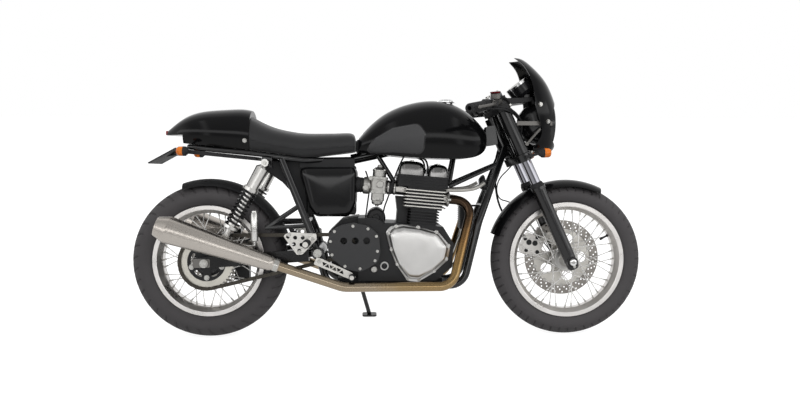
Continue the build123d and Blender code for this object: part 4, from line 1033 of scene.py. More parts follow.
@dataclass
class Wheel:
    """Wire wheel with its tyre, rim, spokes, hub and brake disc."""

    bench: Bench
    end: str
    axle: Vector
    radius: float
    width: float
    bead: float
    rim_half: float
    hub_radius: float
    hub_y: float
    disc_y: float
    disc_radius: float
    disc_inner: float
    carrier_holes: tuple[int, float, float]
    tread: Tread
    spoke_count: int = 40
    spoke_lead: float = math.radians(52)
    well_depth: float = 20.0
    disc_thick: float = 5.0
    tyre_steps: int = 720

    def build(self) -> None:
        """Dresses the whole wheel."""
        bench = self.bench
        self.tyre()
        bench.copy(f"{self.end}_rim", Finish.RIM, bevel=1.6)
        bench.copy(f"{self.end}_spokes", Finish.SPOKE)
        # The rear hub, behind the sprocket, takes the dark case paint in place of the hub aluminium that the
        # front hub has: painted shade.
        bench.copy(f"{self.end}_hub", Finish.HUB if self.end == "front" else Finish.CASE, bevel=1.5,
                   slot="hub_alloy")
        self.nipples()
        self.valve()
        self.disc()

    def tyre(self) -> None:
        """Tyre with its tread cut as grooves that run off the crown at a slant."""
        pairs, slant, centre = self.tread.value
        crown = 0.53 * self.width
        edge = 0.475 * self.width
        heart = self.radius - crown
        shoulder = heart + math.sqrt(crown * crown - edge * edge)
        foot = self.rim_half - 5.3
        low = (foot, self.bead + 13)
        wall = (self.width / 2, 0.62 * shoulder + 0.38 * (self.bead + 13))
        side = arc_through(low, wall, (edge, shoulder), 12)
        crown_arc = arc_through((edge, shoulder), (0, self.radius), (-edge, shoulder), 40)
        half = [(foot, self.bead + 0.4), *side[:-1]]
        profile = half + crown_arc + [(-y, r) for y, r in reversed(half)]
        rings = []
        for i in range(self.tyre_steps):
            angle = math.tau * i / self.tyre_steps
            out = Vector((math.cos(angle), 0, math.sin(angle)))
            ring = []
            for y, r in profile:
                cut = self.groove(angle, y / edge, pairs, slant, centre)
                share = (cut if r > shoulder - 0.5 else self.rib(r, low[1])) / crown
                ring.append(self.axle + ACROSS * y * (1 - share) + out * (r - (r - heart) * share))
            rings.append(ring)
        self.bench.piece(f"{self.end}_tyre_cover", Solid().loft(rings, closed=True), Finish.TYRE,
                         replaces=[f"{self.end}_tyre"], sharp=50)

    @staticmethod
    def groove(angle: float, share: float, pairs: int, slant: float, centre: bool) -> float:
        """Depth of the tread's grooves at an angle and a share of the crown's half width."""
        depth = RING_DEPTH if centre and abs(abs(share) - RING_AT) < RING_HALF else 0.0
        shift = 0.5 if share < 0 else 0.0
        turn = (angle * pairs / math.tau + shift + slant * abs(share) ** 0.8) % 1.0
        near = min(turn, 1 - turn)
        if CUT_FROM < abs(share) < CUT_TO and near < CUT_HALF:
            depth = max(depth, CUT_DEPTH * (1 - (near / CUT_HALF) ** 4))
        return depth

    @staticmethod
    def rib(radius: float, low: float) -> float:
        """Height, as negative depth, of the thin moulded rings above the bead."""
        return -1.0 if 6 < radius - low < 10 else 0.0

    def nipples(self) -> None:
        """Spoke nipples in the rim's well."""
        spots = []
        for i in range(self.spoke_count):
            side = 1 if i % 2 else -1
            lead = 1 if (i // 2) % 2 else -1
            angle = math.tau * i / self.spoke_count
            hub_angle = angle + lead * self.spoke_lead
            top = self.bead - self.well_depth
            start = self.axle + Vector((top * math.cos(angle), side * (8 + 2.5 * lead),
                                        top * math.sin(angle)))
            end = self.axle + Vector((self.hub_radius * math.cos(hub_angle), side * (self.hub_y + 5 * lead),
                                      self.hub_radius * math.sin(hub_angle)))
            spots.append((start, end - start))
        self.bench.fasteners(f"{self.end}_nipples", spots, Head(3.2, 13.0, sides=8, washer=4.2))

    def valve(self) -> None:
        """Rubber valve stem with its cap, through the rim's well."""
        angle = math.radians(28.0)
        inward = -Vector((math.cos(angle), 0, math.sin(angle)))
        foot = self.axle - inward * (self.bead - self.well_depth)
        stem = Solid().lathe(foot, inward,
                             [(-1, 0), (-1, 7), (3, 6), (8, 4), (24, 4), (25, 5), (36, 5), (37, 0)], 16)
        self.bench.piece(f"{self.end}_valve", stem, Finish.RUBBER)

    def disc(self) -> None:
        """Drilled brake disc on a lightened carrier with its bolts."""
        count, at, hole = self.carrier_holes
        band = self.disc_radius - self.disc_inner
        holes = [(*p, 3.6) for row, share in enumerate((0.22, 0.5, 0.78))
                 for p in circle(self.disc_inner + band * share, 30, row / 3)]
        face = self.axle + ACROSS * (self.disc_y + self.disc_thick)
        self.bench.drilled(f"{self.end}_disc_band",
                           [circle(self.disc_radius, 120), circle(self.disc_inner, 96)], holes,
                           self.disc_thick, face, Finish.DISC, replaces=[f"{self.end}_disc"], bevel=0.5)
        openings = [(*p, hole) for p in circle(at, count)]
        self.bench.drilled(f"{self.end}_disc_carrier",
                           [circle(self.disc_inner - 0.6, 96), circle(19.0, 32)], openings,
                           self.disc_thick - 1.5, face - ACROSS * 0.8, Finish.CARRIER, bevel=0.6)
        bobbins = []
        for x, z in circle(self.disc_inner, 10, 0.5):
            at_rim = face + Vector((x, 0, z))
            bobbins += [(at_rim, ACROSS), (at_rim - ACROSS * self.disc_thick, -ACROSS)]
        self.bench.fasteners(f"{self.end}_disc_bobbins", bobbins, Head(6.0, 1.6, sides=14, washer=8.0))
        bolts = [(face + Vector((x, 0, z)), ACROSS) for x, z in circle(36, count, 0.5)]
        self.bench.fasteners(f"{self.end}_disc_bolts", bolts, M8)


@dataclass
class FinalDrive:
    """Rear sprocket with its teeth and the roller chain on the right."""

    bench: Bench
    chain_y: float = -84.0
    pitch: float = 15.875
    rear_teeth: int = 43
    front_teeth: int = 18
    plate: float = 7.0
    carrier: float = 78.0

    def pitch_radius(self, teeth: int) -> float:
        """Radius on which a sprocket's rollers lie."""
        return self.pitch / (2 * math.sin(math.pi / teeth))

    def build(self) -> None:
        """Makes the sprocket, its nuts and the chain."""
        self.sprocket()
        self.chain()

    def sprocket(self) -> None:
        """Toothed ring on a black carrier."""
        r = self.pitch_radius(self.rear_teeth)
        teeth = []
        for k in range(self.rear_teeth):
            for share, lift in ((0.0, -4.6), (0.2, -3.4), (0.36, 1.6), (0.44, 3.8), (0.56, 3.8),
                                (0.64, 1.6), (0.8, -3.4)):
                a = math.tau * (k + share) / self.rear_teeth
                teeth.append(((r + lift) * math.cos(a), (r + lift) * math.sin(a)))
        origin = REAR_AXLE + ACROSS * (self.chain_y + self.plate / 2)
        wheel = self.bench.on("rear_wheel")
        wheel.drilled("rear_sprocket_plate", [teeth, circle(self.carrier, 72)], [], self.plate, origin,
                      Finish.SPROCKET, replaces=["rear_sprocket"], bevel=0.6)
        windows = []
        for k in range(5):
            mid = math.tau * (k + 0.25) / 5
            corners = [(66, -0.32), (67, 0), (66, 0.32), (40, 0.26), (38, 0), (40, -0.26)]
            windows.append(rounded([(q * math.cos(mid + a), q * math.sin(mid + a)) for q, a in corners], 6))
        wheel.drilled("rear_sprocket_carrier",
                      [circle(self.carrier - 0.4, 72), circle(18.5, 32),
                       *windows], [], self.plate - 1, origin, Finish.ENGINE, bevel=0.6)
        nuts = [(origin + Vector((x, -self.plate, z)), -ACROSS) for x, z in circle(64, 5, 0.75)]
        wheel.fasteners("rear_sprocket_nuts", nuts, M10)

    def chain(self) -> None:
        """Links round both sprockets, inner and outer pairs in turn."""
        big, small = self.pitch_radius(self.rear_teeth), self.pitch_radius(self.front_teeth)
        rear, front = REAR_AXLE.xz, GEARBOX_AT.xz
        span = front - rear
        along = math.atan2(span.y, span.x)
        lean = math.acos((big - small) / span.length)
        reach = math.sqrt(span.length ** 2 - (big - small) ** 2)
        total = 2 * reach + 2 * lean * small + (math.tau - 2 * lean) * big
        count = round(total / self.pitch / 2) * 2
        verts, runs = [], []
        for i in range(count):
            at, run = self.along_loop(total * i / count, rear, front, along, lean, reach, big, small)
            verts.append((at.x, self.chain_y, at.y))
            runs.append(Vector((run.x, 0, run.y)))
        mesh = bpy.data.meshes.new("chain_points")
        mesh.from_pydata(verts, [], [])
        headings = [c for run in runs for c in run]
        mesh.attributes.new("axis", "FLOAT_VECTOR", "POINT").data.foreach_set("vector", headings)
        mesh.attributes.new("spread", "FLOAT", "POINT").data.foreach_set("value", [0.72, 1.0] * (count // 2))
        grown = self.bench.grow(Recipe.LINKS, mesh, Finish.CHAIN, {
            "Pitch": self.pitch, "Plate Height": 14.0, "Plate Thickness": 1.8, "Half Width": 8.0,
            "Roller Radius": 4.9})
        grown.transform(self.bench.matrix)
        self.bench.finish_object(grown, "chain_links", Finish.CHAIN, replaces=["chain"])

    @staticmethod
    def along_loop(s: float, rear: Vector, front: Vector, along: float, lean: float, reach: float,
                   big: float, small: float) -> tuple[Vector, Vector]:
        """Point and heading at a length along the chain's loop.

        Args:
            s: Length from the start of the upper run.
            rear: Centre of the rear sprocket.
            front: Centre of the front sprocket.
            along: Angle of the line between the centres.
            lean: Angle from that line to where the upper run leaves.
            reach: Length of each straight run.
            big: Rear pitch radius.
            small: Front pitch radius.

        Returns:
            Point and unit heading in the wheel's plane.
        """
        def way(a: float) -> Vector:
            return Vector((math.cos(a), math.sin(a)))

        top = along + lean
        heading = way(top - math.pi / 2)
        if s < reach:
            return rear + way(top) * big + heading * s, heading
        s -= reach
        if s < 2 * lean * small:
            a = top - s / small
            return front + way(a) * small, way(a - math.pi / 2)
        s -= 2 * lean * small
        low = along - lean
        heading = way(low - math.pi / 2)
        if s < reach:
            return front + way(low) * small + heading * s, heading
        a = low - (s - reach) / big
        return rear + way(a) * big, way(a - math.pi / 2)


@dataclass
class Fork:
    """Fork legs, yokes, mudguard and front brake."""

    bench: Bench
    slider_top: float = 338.0
    lower_yoke: float = 455.0
    top_yoke: float = 678.0

    def build(self) -> None:
        """Dresses the fork."""
        # The fork tubes take the darkened chrome, whose colour carries painted shade and painted reflection.
        self.bench.copies(
            ("fork_sliders", Finish.FRAME, 2.0), ("fork_tubes", Finish.CHROME, 1.0),
            ("fork_covers", Finish.FRAME, 1.5), ("lower_yoke", Finish.FRAME, 2.0),
            ("top_yoke", Finish.SATIN, 2.0), ("front_axle", Finish.STEEL, 1.5),
            ("front_caliper", Finish.CALIPER, 2.5), ("front_mudguard", Finish.BODY, 0.8))
        self.seals()
        self.bolts()
        self.caliper_face()
        self.brake_hose()

    def seals(self) -> None:
        """Rubber dust seals and the caps on top of the tubes."""
        seals, caps = Solid(), Solid()
        along = on_fork(1) - on_fork(0)
        for side in SIDES:
            seals.lathe(on_fork(self.slider_top + 0.5, side * LEG_Y), along, [
                (0, 20.7), (0, 29), (5, 29), (9, 26), (14, 25), (18, 21.5), (18, 20.7)], 40, ring=True)
            caps.lathe(on_fork(752.2, side * LEG_Y), along, [
                (0, 0), (0, 20), (4, 20), (5, 17), (6, 12), (12, 12), (13, 10), (13, 0)], 32)
        self.bench.piece("fork_dust_seals", seals, Finish.RUBBER)
        self.bench.piece("fork_top_caps", caps, Finish.SHOCK)

    def bolts(self) -> None:
        """Pinch bolts of the yokes and axle clamps, and the ring at the axle's end."""
        ahead = (math.cos(RAKE), 0, math.sin(RAKE))
        spots = []
        for side in SIDES:
            for along, reach in ((self.lower_yoke + 9, 33), (self.lower_yoke + 23, 33),
                                 (self.top_yoke + 11, 30)):
                spots.append((on_fork(along, side * LEG_Y, reach), ahead))
            spots.append((on_fork(-20, side * (LEG_Y + 22), 0), (0, side, 0)))
        self.bench.fasteners("fork_pinch_bolts", spots, M8)
        ring = Solid().lathe(FRONT_AXLE - ACROSS * 136.5, -ACROSS,
                             [(-2, 5), (-2, 13), (3, 13), (4, 11), (4, 5)], 28, ring=True)
        self.bench.piece("front_axle_ring", ring, Finish.CAP)

    def caliper_face(self) -> None:
        """Bridge bolts and pad pins on the caliper's inner face, seen through the spokes."""
        for name, places, head in (
                ("caliper_bolts", ((584, 400), (636, 404), (588, 350), (636, 342)), M8),
                ("caliper_pins", ((600, 384), (626, 380)), Head(10.0, 3.0, sides=20, washer=12.0))):
            spots = [self.bench.hit("front_caliper", (x, -300, z), ACROSS) for x, z in places]
            self.bench.fasteners(name, [spot for spot in spots if spot], head, Finish.SATIN)

    def brake_hose(self) -> None:
        """Hose from the bar's master cylinder past the yoke to the caliper, and the speed sensor's lead."""
        hose = [(430, -170, 985), (470, -130, 990), (500, -60, 940), (478, -10, 840), (452, 30, 745),
                (452, 44, 650), (470, 60, 545), (520, 84, 470), (575, 90, 420), (598, 92, 402)]
        lead = [(536, 26, 732), (512, 30, 700), (470, 36, 660), (458, 44, 610), (474, 54, 568),
                (510, 62, 560), (560, 72, 540), (640, 72, 420), (700, 66, 345)]
        self.bench.cable("front_brake_hose", [hose], 4.6, Finish.RUBBER)
        self.bench.cable("wheel_sensor_lead", [lead], 2.6, Finish.RUBBER)


@dataclass
class Cockpit:
    """Bars, controls, lamp, fairing, gauges and front indicators."""

    bench: Bench
    lamp_x: float = 674.0
    lamp_z: float = 885.0
    lamp_radius: float = 90.0
    bar_root: Vector = field(default_factory=lambda: on_fork(718.0, -LEG_Y))
    bar_run: Vector = field(default_factory=lambda: Vector((-158, -242, -48)))

    def build(self) -> None:
        """Dresses the cockpit."""
        self.bench.copies(("clip_ons", Finish.SATIN, 1.2), ("nose_fairing", Finish.BODY, 0.8),
                          ("lamp_brackets", Finish.DARK, 1.0), ("gauges", Finish.GAUGE, 1.5))
        self.lamp()
        self.grips()
        self.controls()
        self.dials()
        self.stays()
        self.indicators()

    def on_bar(self, side: int, along: float, ahead: float = 0.0, up: float = 0.0) -> Vector:
        """Point by a bar: a distance from its root, ahead of it and above it."""
        run = self.bar_run.normalized()
        front = run.cross(UP).normalized()
        front = front if front.x > 0 else -front
        lift = front.cross(run).normalized()
        lift = lift if lift.z > 0 else -lift
        point = self.bar_root + run * along + front * ahead + lift * up
        return Vector((point.x, -side * point.y, point.z))

    def lamp(self) -> None:
        """Headlamp shell with a black ring, reflector, bulb and glass."""
        at = Vector((self.lamp_x, 0, self.lamp_z))
        back = -FORWARD
        r = self.lamp_radius
        shell = Solid().lathe(at, back, [
            (0, r - 3), (35, r - 3), (70, r - 4), (108, 68), (130, 40), (130, 0), (127, 0),
            (127, 38), (106, 64), (68, r - 8), (35, r - 7), (0, r - 7)], 72)
        self.bench.piece("headlamp_bowl", shell, Finish.FRAME, replaces=["headlamp_shell"])
        ring = Solid().lathe(at, FORWARD, [
            (-14, r - 2.6), (-14, r), (0, r + 1.2), (5, r), (7, r - 4), (6, r - 7.5),
            (0, r - 7)], 72, ring=True)
        self.bench.piece("headlamp_ring", ring, Finish.FRAME)
        bowl = Solid().lathe(at, back, [
            (0, r - 8), (10, r - 12), (30, r - 26), (48, 42), (58, 22), (60, 12), (60, 0), (62, 0), (62, 14),
            (50, 44), (32, r - 24), (12, r - 10), (1, r - 7.6)], 72)
        self.bench.piece("headlamp_reflector", bowl, Finish.CAP)
        bulb = Solid().lathe(at, FORWARD,
                             [(-60, 0), (-60, 9), (-40, 9), (-38, 6), (-22, 6), (-16, 3.5), (-14, 0)], 20)
        self.bench.piece("headlamp_bulb", bulb, Finish.GLASS)
        front = arc_through((2, r - 8), (10.5, 45), (12, 0.5), 10)
        rear = [(x - 2.4, q) for x, q in reversed(front)]
        self.bench.piece("headlamp_glass", Solid().lathe(at, FORWARD, front + rear, 72), Finish.GLASS,
                         replaces=["headlamp_lens"])

    def grips(self) -> None:
        """Ribbed rubber grips on both bars."""
        grips = Solid()
        long = self.bar_run.length
        for side in SIDES:
            start = self.on_bar(side, long - 129)
            axis = self.on_bar(side, long) - start
            profile = [(0, 16.4), (0, 17.2)]
            for k in range(20):
                profile += [(4 + k * 5.6, 17.2), (5 + k * 5.6, 18.6), (8 + k * 5.6, 18.6),
                            (9 + k * 5.6, 17.2)]
            profile += [(120, 17.2), (120, 16.4)]
            grips.lathe(start, axis, profile, 28, ring=True)
        self.bench.piece("bar_grips", grips, Finish.RUBBER, slot="bar_black")

    def controls(self) -> None:
        """Levers, their clamps, switch boxes and the brake's master cylinder."""
        levers, clamps, switches = Solid(), Solid(), Solid()
        for side in SIDES:
            pivot = self.on_bar(side, 118, 34, 2)
            stations = [(118, 34, 8), (150, 44, 7), (190, 46, 6), (240, 42, 5.5), (275, 40, 5.5),
                        (284, 40, 7.5), (292, 40, 4)]
            self.lever(levers, side, stations)
            clamps.rod(self.on_bar(side, 92), self.on_bar(side, 112), 17.5, 1.5)
            clamps.rod(self.on_bar(side, 102, 8), pivot, 10, 1.5)
            clamps.rod(pivot + Vector((0, 0, -11)), pivot + Vector((0, 0, 9)), 9, 1)
            switches.rod(self.on_bar(side, 116), self.on_bar(side, 152), 21, 4)
            switches.rod(self.on_bar(side, 134, 8, 16), self.on_bar(side, 134, -16, 16), 6, 1)
        self.bench.piece("hand_levers", levers, Finish.DARK)
        self.bench.piece("lever_clamps", clamps, Finish.SATIN, bevel=0.6)
        self.bench.piece("switch_boxes", switches, Finish.PLASTIC)
        pump = Solid()
        pump.rod(self.on_bar(RIGHT, 60, 26, 4), self.on_bar(RIGHT, 124, 30, 4), 12, 2)
        pump.rod(self.on_bar(RIGHT, 96, 24, 8), self.on_bar(RIGHT, 96, 24, 20), 8, 1)
        pump.rod(self.on_bar(RIGHT, 96, 24, 18), self.on_bar(RIGHT, 96, 24, 40), 20, 2)
        self.bench.piece("brake_master_cylinder", pump, Finish.DARK, bevel=0.6)
        lid = Solid().rod(self.on_bar(RIGHT, 96, 24, 40.3), self.on_bar(RIGHT, 96, 24, 47), 21, 2)
        self.bench.piece("brake_reservoir_lid", lid, Finish.DEEP_RED)
        self.wiring()

    def wiring(self) -> None:
        """Instrument bracket, and the cables that run from the bars into the space behind the lamp."""
        bracket = Solid().slab(rounded([(448, 966), (520, 968), (590, 978), (592, 996), (520, 992),
                                        (448, 990)], 6), 62, 124)
        self.bench.piece("instrument_bracket", bracket, Finish.SATIN, bevel=2.0)
        routes = []
        for side in SIDES:
            for along, drop, y in ((126, 18, 92), (138, 24, 76), (104, 16, 58)):
                routes.append([self.on_bar(side, along, 6, -drop + 8),
                               self.on_bar(side, along - 60, 44, -drop + 6), (520, side * y, 944 - drop),
                               (548, side * (y - 20), 896 - drop), (540, side * (y - 34), 820)])
        self.bench.cable("bar_cables", routes, 4.2, Finish.RUBBER)

    def lever(self, solid: Solid, side: int, stations: Sequence[Point]) -> None:
        """Flat tapering lever through stations of distance along the bar, reach ahead and half height."""
        rings = []
        for along, ahead, half in stations:
            rings.append([self.on_bar(side, along, ahead + 4.5 * x, 2 + half * y)
                          for x, y in circle(1.0, 12)])
        solid.loft(rings)

    def dials(self) -> None:
        """Dial cards with plain marks and needles, inside chrome rings."""
        out = Vector((-0.62, 0, 0.78)).normalized()
        cards, rings, marks = Solid(), Solid(), Solid()
        for side in SIDES:
            face = Vector((567.0, side * 46.0, 1010.0)) + out * 52.3
            u, v = ACROSS, out.cross(ACROSS)
            cards.lathe(face, out, [(0, 0), (0, 36), (0.8, 36), (0.8, 0)], 48)
            rings.lathe(face, out, [(-6, 40.3), (-6, 41.5), (3, 41.5), (4, 39), (3.4, 36.5), (0.2, 36.5)],
                        48, ring=True)
            for k in range(25):
                a = math.radians(-40 + 260 * k / 24)
                spoke = u * math.cos(a) + v * math.sin(a)
                long = 7 if k % 3 == 0 else 4
                marks.plate([(33 - long, -0.6), (33, -0.6), (33, 0.6), (33 - long, 0.6)],
                            face + out * 0.8, spoke, out.cross(spoke), 0.4)
            needle = u * math.cos(math.radians(220)) + v * math.sin(math.radians(220))
            marks.plate([(-6, -1.4), (28, -0.5), (28, 0.5), (-6, 1.4)], face + out * 2.2, needle,
                        out.cross(needle), 0.6)
            marks.lathe(face + out * 0.8, out, [(0, 0), (0, 4), (2.6, 3.6), (2.6, 0)], 20)
        self.bench.piece("gauge_cards", cards, Finish.DIAL)
        self.bench.piece("gauge_rings", rings, Finish.CAP)
        self.bench.piece("gauge_marks", marks, Finish.MARK)

    def stays(self) -> None:
        """Lower fairing stays and the bolts that hold the fairing."""
        stays = Solid()
        spots = []
        for side in SIDES:
            stays.rod((556, side * 110, 800), (612, side * 106, 862), 5.5)
            stays.rod((556, side * 96, 800), (556, side * 118, 800), 8)
            for x, z in ((644, 892), (610, 960)):
                spots.append(self.bench.hit("nose_fairing", (x, side * 300, z), (0, -side, 0)))
        self.bench.piece("fairing_stays", stays, Finish.DARK)
        self.bench.fasteners("fairing_bolts", spots, DOME)

    def indicators(self) -> None:
        """Front indicators: black stalks and cups with amber lenses."""
        cups, lenses = Solid(), Solid()
        base = on_fork(471)
        for side in SIDES:
            y = side * (LEG_Y + 52)
            cups.rod((base.x, side * (LEG_Y + 33.3), base.z), (base.x, side * (LEG_Y + 58), base.z), 7)
            cups.rod((base.x, y, base.z), (base.x + 50, y, base.z + 15), 6)
            cups.lathe((base.x + 45, y, base.z + 16), FORWARD,
                       [(0, 0), (0, 10), (14, 19), (24, 19.4), (24, 0)], 32)
            lenses.lathe((base.x + 69, y, base.z + 16), FORWARD,
                         [(0, 0), (0, 19), (18, 18.4), (25, 14), (28, 7), (28.5, 0)], 32)
        self.bench.piece("front_indicator_cups", cups, Finish.PLASTIC, replaces=["front_indicators"])
        self.bench.piece("front_indicator_lenses", lenses, Finish.AMBER)


@dataclass
class Chassis:
    """Frame, swingarm, shocks, footrests, side stand and rear brake."""

    bench: Bench
    shock_top: Vector = field(default_factory=lambda: Vector((-497.0, 150.0, 722.0)))
    shock_low: Vector = field(default_factory=lambda: Vector((-655.0, 150.0, 428.06)))

    def build(self) -> None:
        """Dresses the chassis."""
        self.bench.copies(
            ("frame", Finish.FRAME, 0.0), ("swingarm", Finish.FRAME, 2.0), ("rear_axle", Finish.STEEL, 1.5),
            ("shock_bodies", Finish.SHOCK, 1.5), ("footrest_plates", Finish.BRACKET, 1.0),
            ("foot_levers", Finish.BRACKET, 0.6), ("rear_caliper", Finish.SATIN, 2.0),
            ("side_stand", Finish.FRAME, 1.2), ("undertray", Finish.PLASTIC, 1.5),
            ("rear_mudguard", Finish.PLASTIC, 0.8))
        self.springs()
        self.struts()
        self.footrests()
        self.hardware()

    def springs(self) -> None:
        """Coil springs in place of the ridged stand-ins."""
        for side, name in ((RIGHT, "right"), (LEFT, "left")):
            top = Vector((self.shock_top.x, side * 150, self.shock_top.z))
            low = Vector((self.shock_low.x, side * 150, self.shock_low.z))
            run = (low - top).normalized()
            long = (low - top).length
            spring = self.bench.spring(f"{name}_shock_spring", top + run * 129, top + run * (long - 55),
                                       9.0, 26.5, 4.2, Finish.SPRING)
            if side == RIGHT:
                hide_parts("shock_springs")

    def struts(self) -> None:
        """Headstock gussets, head steadies, the trays under the seat and the tank's buffer."""
        gussets = Solid()
        for side in SIDES:
            gussets.slab(rounded([(392, 792), (452, 800), (440, 880), (404, 876)], 8), side * 33 + 1.5, 3)
        self.bench.piece("headstock_gussets", gussets, Finish.FRAME, bevel=0.6)
        steadies = Solid()
        for side in SIDES:
            steadies.rod((-48, side * 34, 752), (20, side * 52, 642), 9)
            steadies.rod((270, side * 34, 756), (246, side * 66, 636), 8)
        self.bench.piece("head_steadies", steadies, Finish.FRAME)
        tray = Solid().slab(rounded([(-372, 700), (-150, 700), (-142, 742), (-366, 738)], 8), 78, 156)
        self.bench.piece("electrics_tray", tray, Finish.PLASTIC, bevel=4.0)
        box = Solid().slab([(-514, 734), (-514, 694), (-442, 644), (-398, 596), (-372, 515),
                            (-339, 515), (-339, 734)],
                           54, 108)
        self.bench.piece("battery_box", box, Finish.PLASTIC, bevel=6.0)
        buffer = Solid().slab(rounded([(-139, 766), (-128.4, 766), (-128.4, 822), (-139, 812)], 3), 52, 104)
        self.bench.piece("tank_rear_buffer", buffer, Finish.RUBBER, bevel=1.5)

    def footrests(self) -> None:
        """Ribbed rubbers on the pegs and pedal toes, and the rear brake's reservoir."""
        rubbers = Solid()
        for side in SIDES:
            start = Vector((-332, side * 158, 404))
            profile = [(0, 11.2), (0, 13)]
            for k in range(9):
                profile += [(3 + k * 8, 13), (4 + k * 8, 15), (8 + k * 8, 15), (9 + k * 8, 13)]
            profile += [(78, 13), (78, 11.2)]
            rubbers.lathe(start, ACROSS * side, profile, 24, ring=True)
            toe = Vector((-154, side * 164, 268))
            rubbers.lathe(toe, ACROSS * side, [(0, 9.2), (0, 12), (32, 12), (32, 9.2)], 20, ring=True)
        self.bench.piece("footrest_rubbers", rubbers, Finish.RUBBER)
        can = Solid().lathe((-540, -158, 410), UP, [
            (0, 0), (0, 12), (4, 15), (40, 15), (42, 13.5), (50, 13.5), (52, 15), (110, 15), (116, 12),
            (122, 12), (122, 0)], 32)
        can.rod((-540, -158, 395), (-540, -158, 412), 6)
        can.rod((-540, -160, 418), (-540, -128, 418), 6)
        self.bench.piece("rear_brake_reservoir", can, Finish.SHOCK)
        pump = Solid().rod((-350, -120, 352), (-394, -120, 446), 17, 3)
        pump.rod((-394, -120, 446), (-402, -120, 463), 9, 2)
        pump.box((-404, -137, 398), (-340, -112, 424))
        self.bench.piece("rear_master_cylinder", pump, Finish.ENGINE, bevel=1.0)

    def hardware(self) -> None:
        """Axle nuts, chain adjusters, and the bolts of shocks and footrest plates."""
        nuts, bolts, plates = [], [], Solid()
        for side in SIDES:
            nuts.append(((-745, side * 140, 320.06), (0, side, 0)))
            nuts.append(((-292, side * 144.5, 360), (0, side, 0)))
            plates.slab(rounded([(-790, 302), (-722, 303), (-722, 338), (-790, 340)], 7),
                        128.2 * side + (3 if side > 0 else 0), 3)
            bolts.append(((-792, side * 114, 320), (-1, 0, 0)))
            for p in (self.shock_top, self.shock_low):
                bolts.append(((p.x, side * 162, p.z), (0, side, 0)))
            for x, z in ((-310, 420), (-404, 436), (-364, 366)):
                bolts.append(((x, side * 151, z), (0, side, 0)))
            bolts.append(((-284, side * 160, 330), (0, side, 0)))
        self.bench.fasteners("axle_nuts", nuts, Head(14.0, 9.0, washer=17.0, washer_height=2.0))
        self.bench.fasteners("chassis_bolts", bolts, M8)
        self.bench.piece("chain_adjusters", plates, Finish.DARK, bevel=0.8)


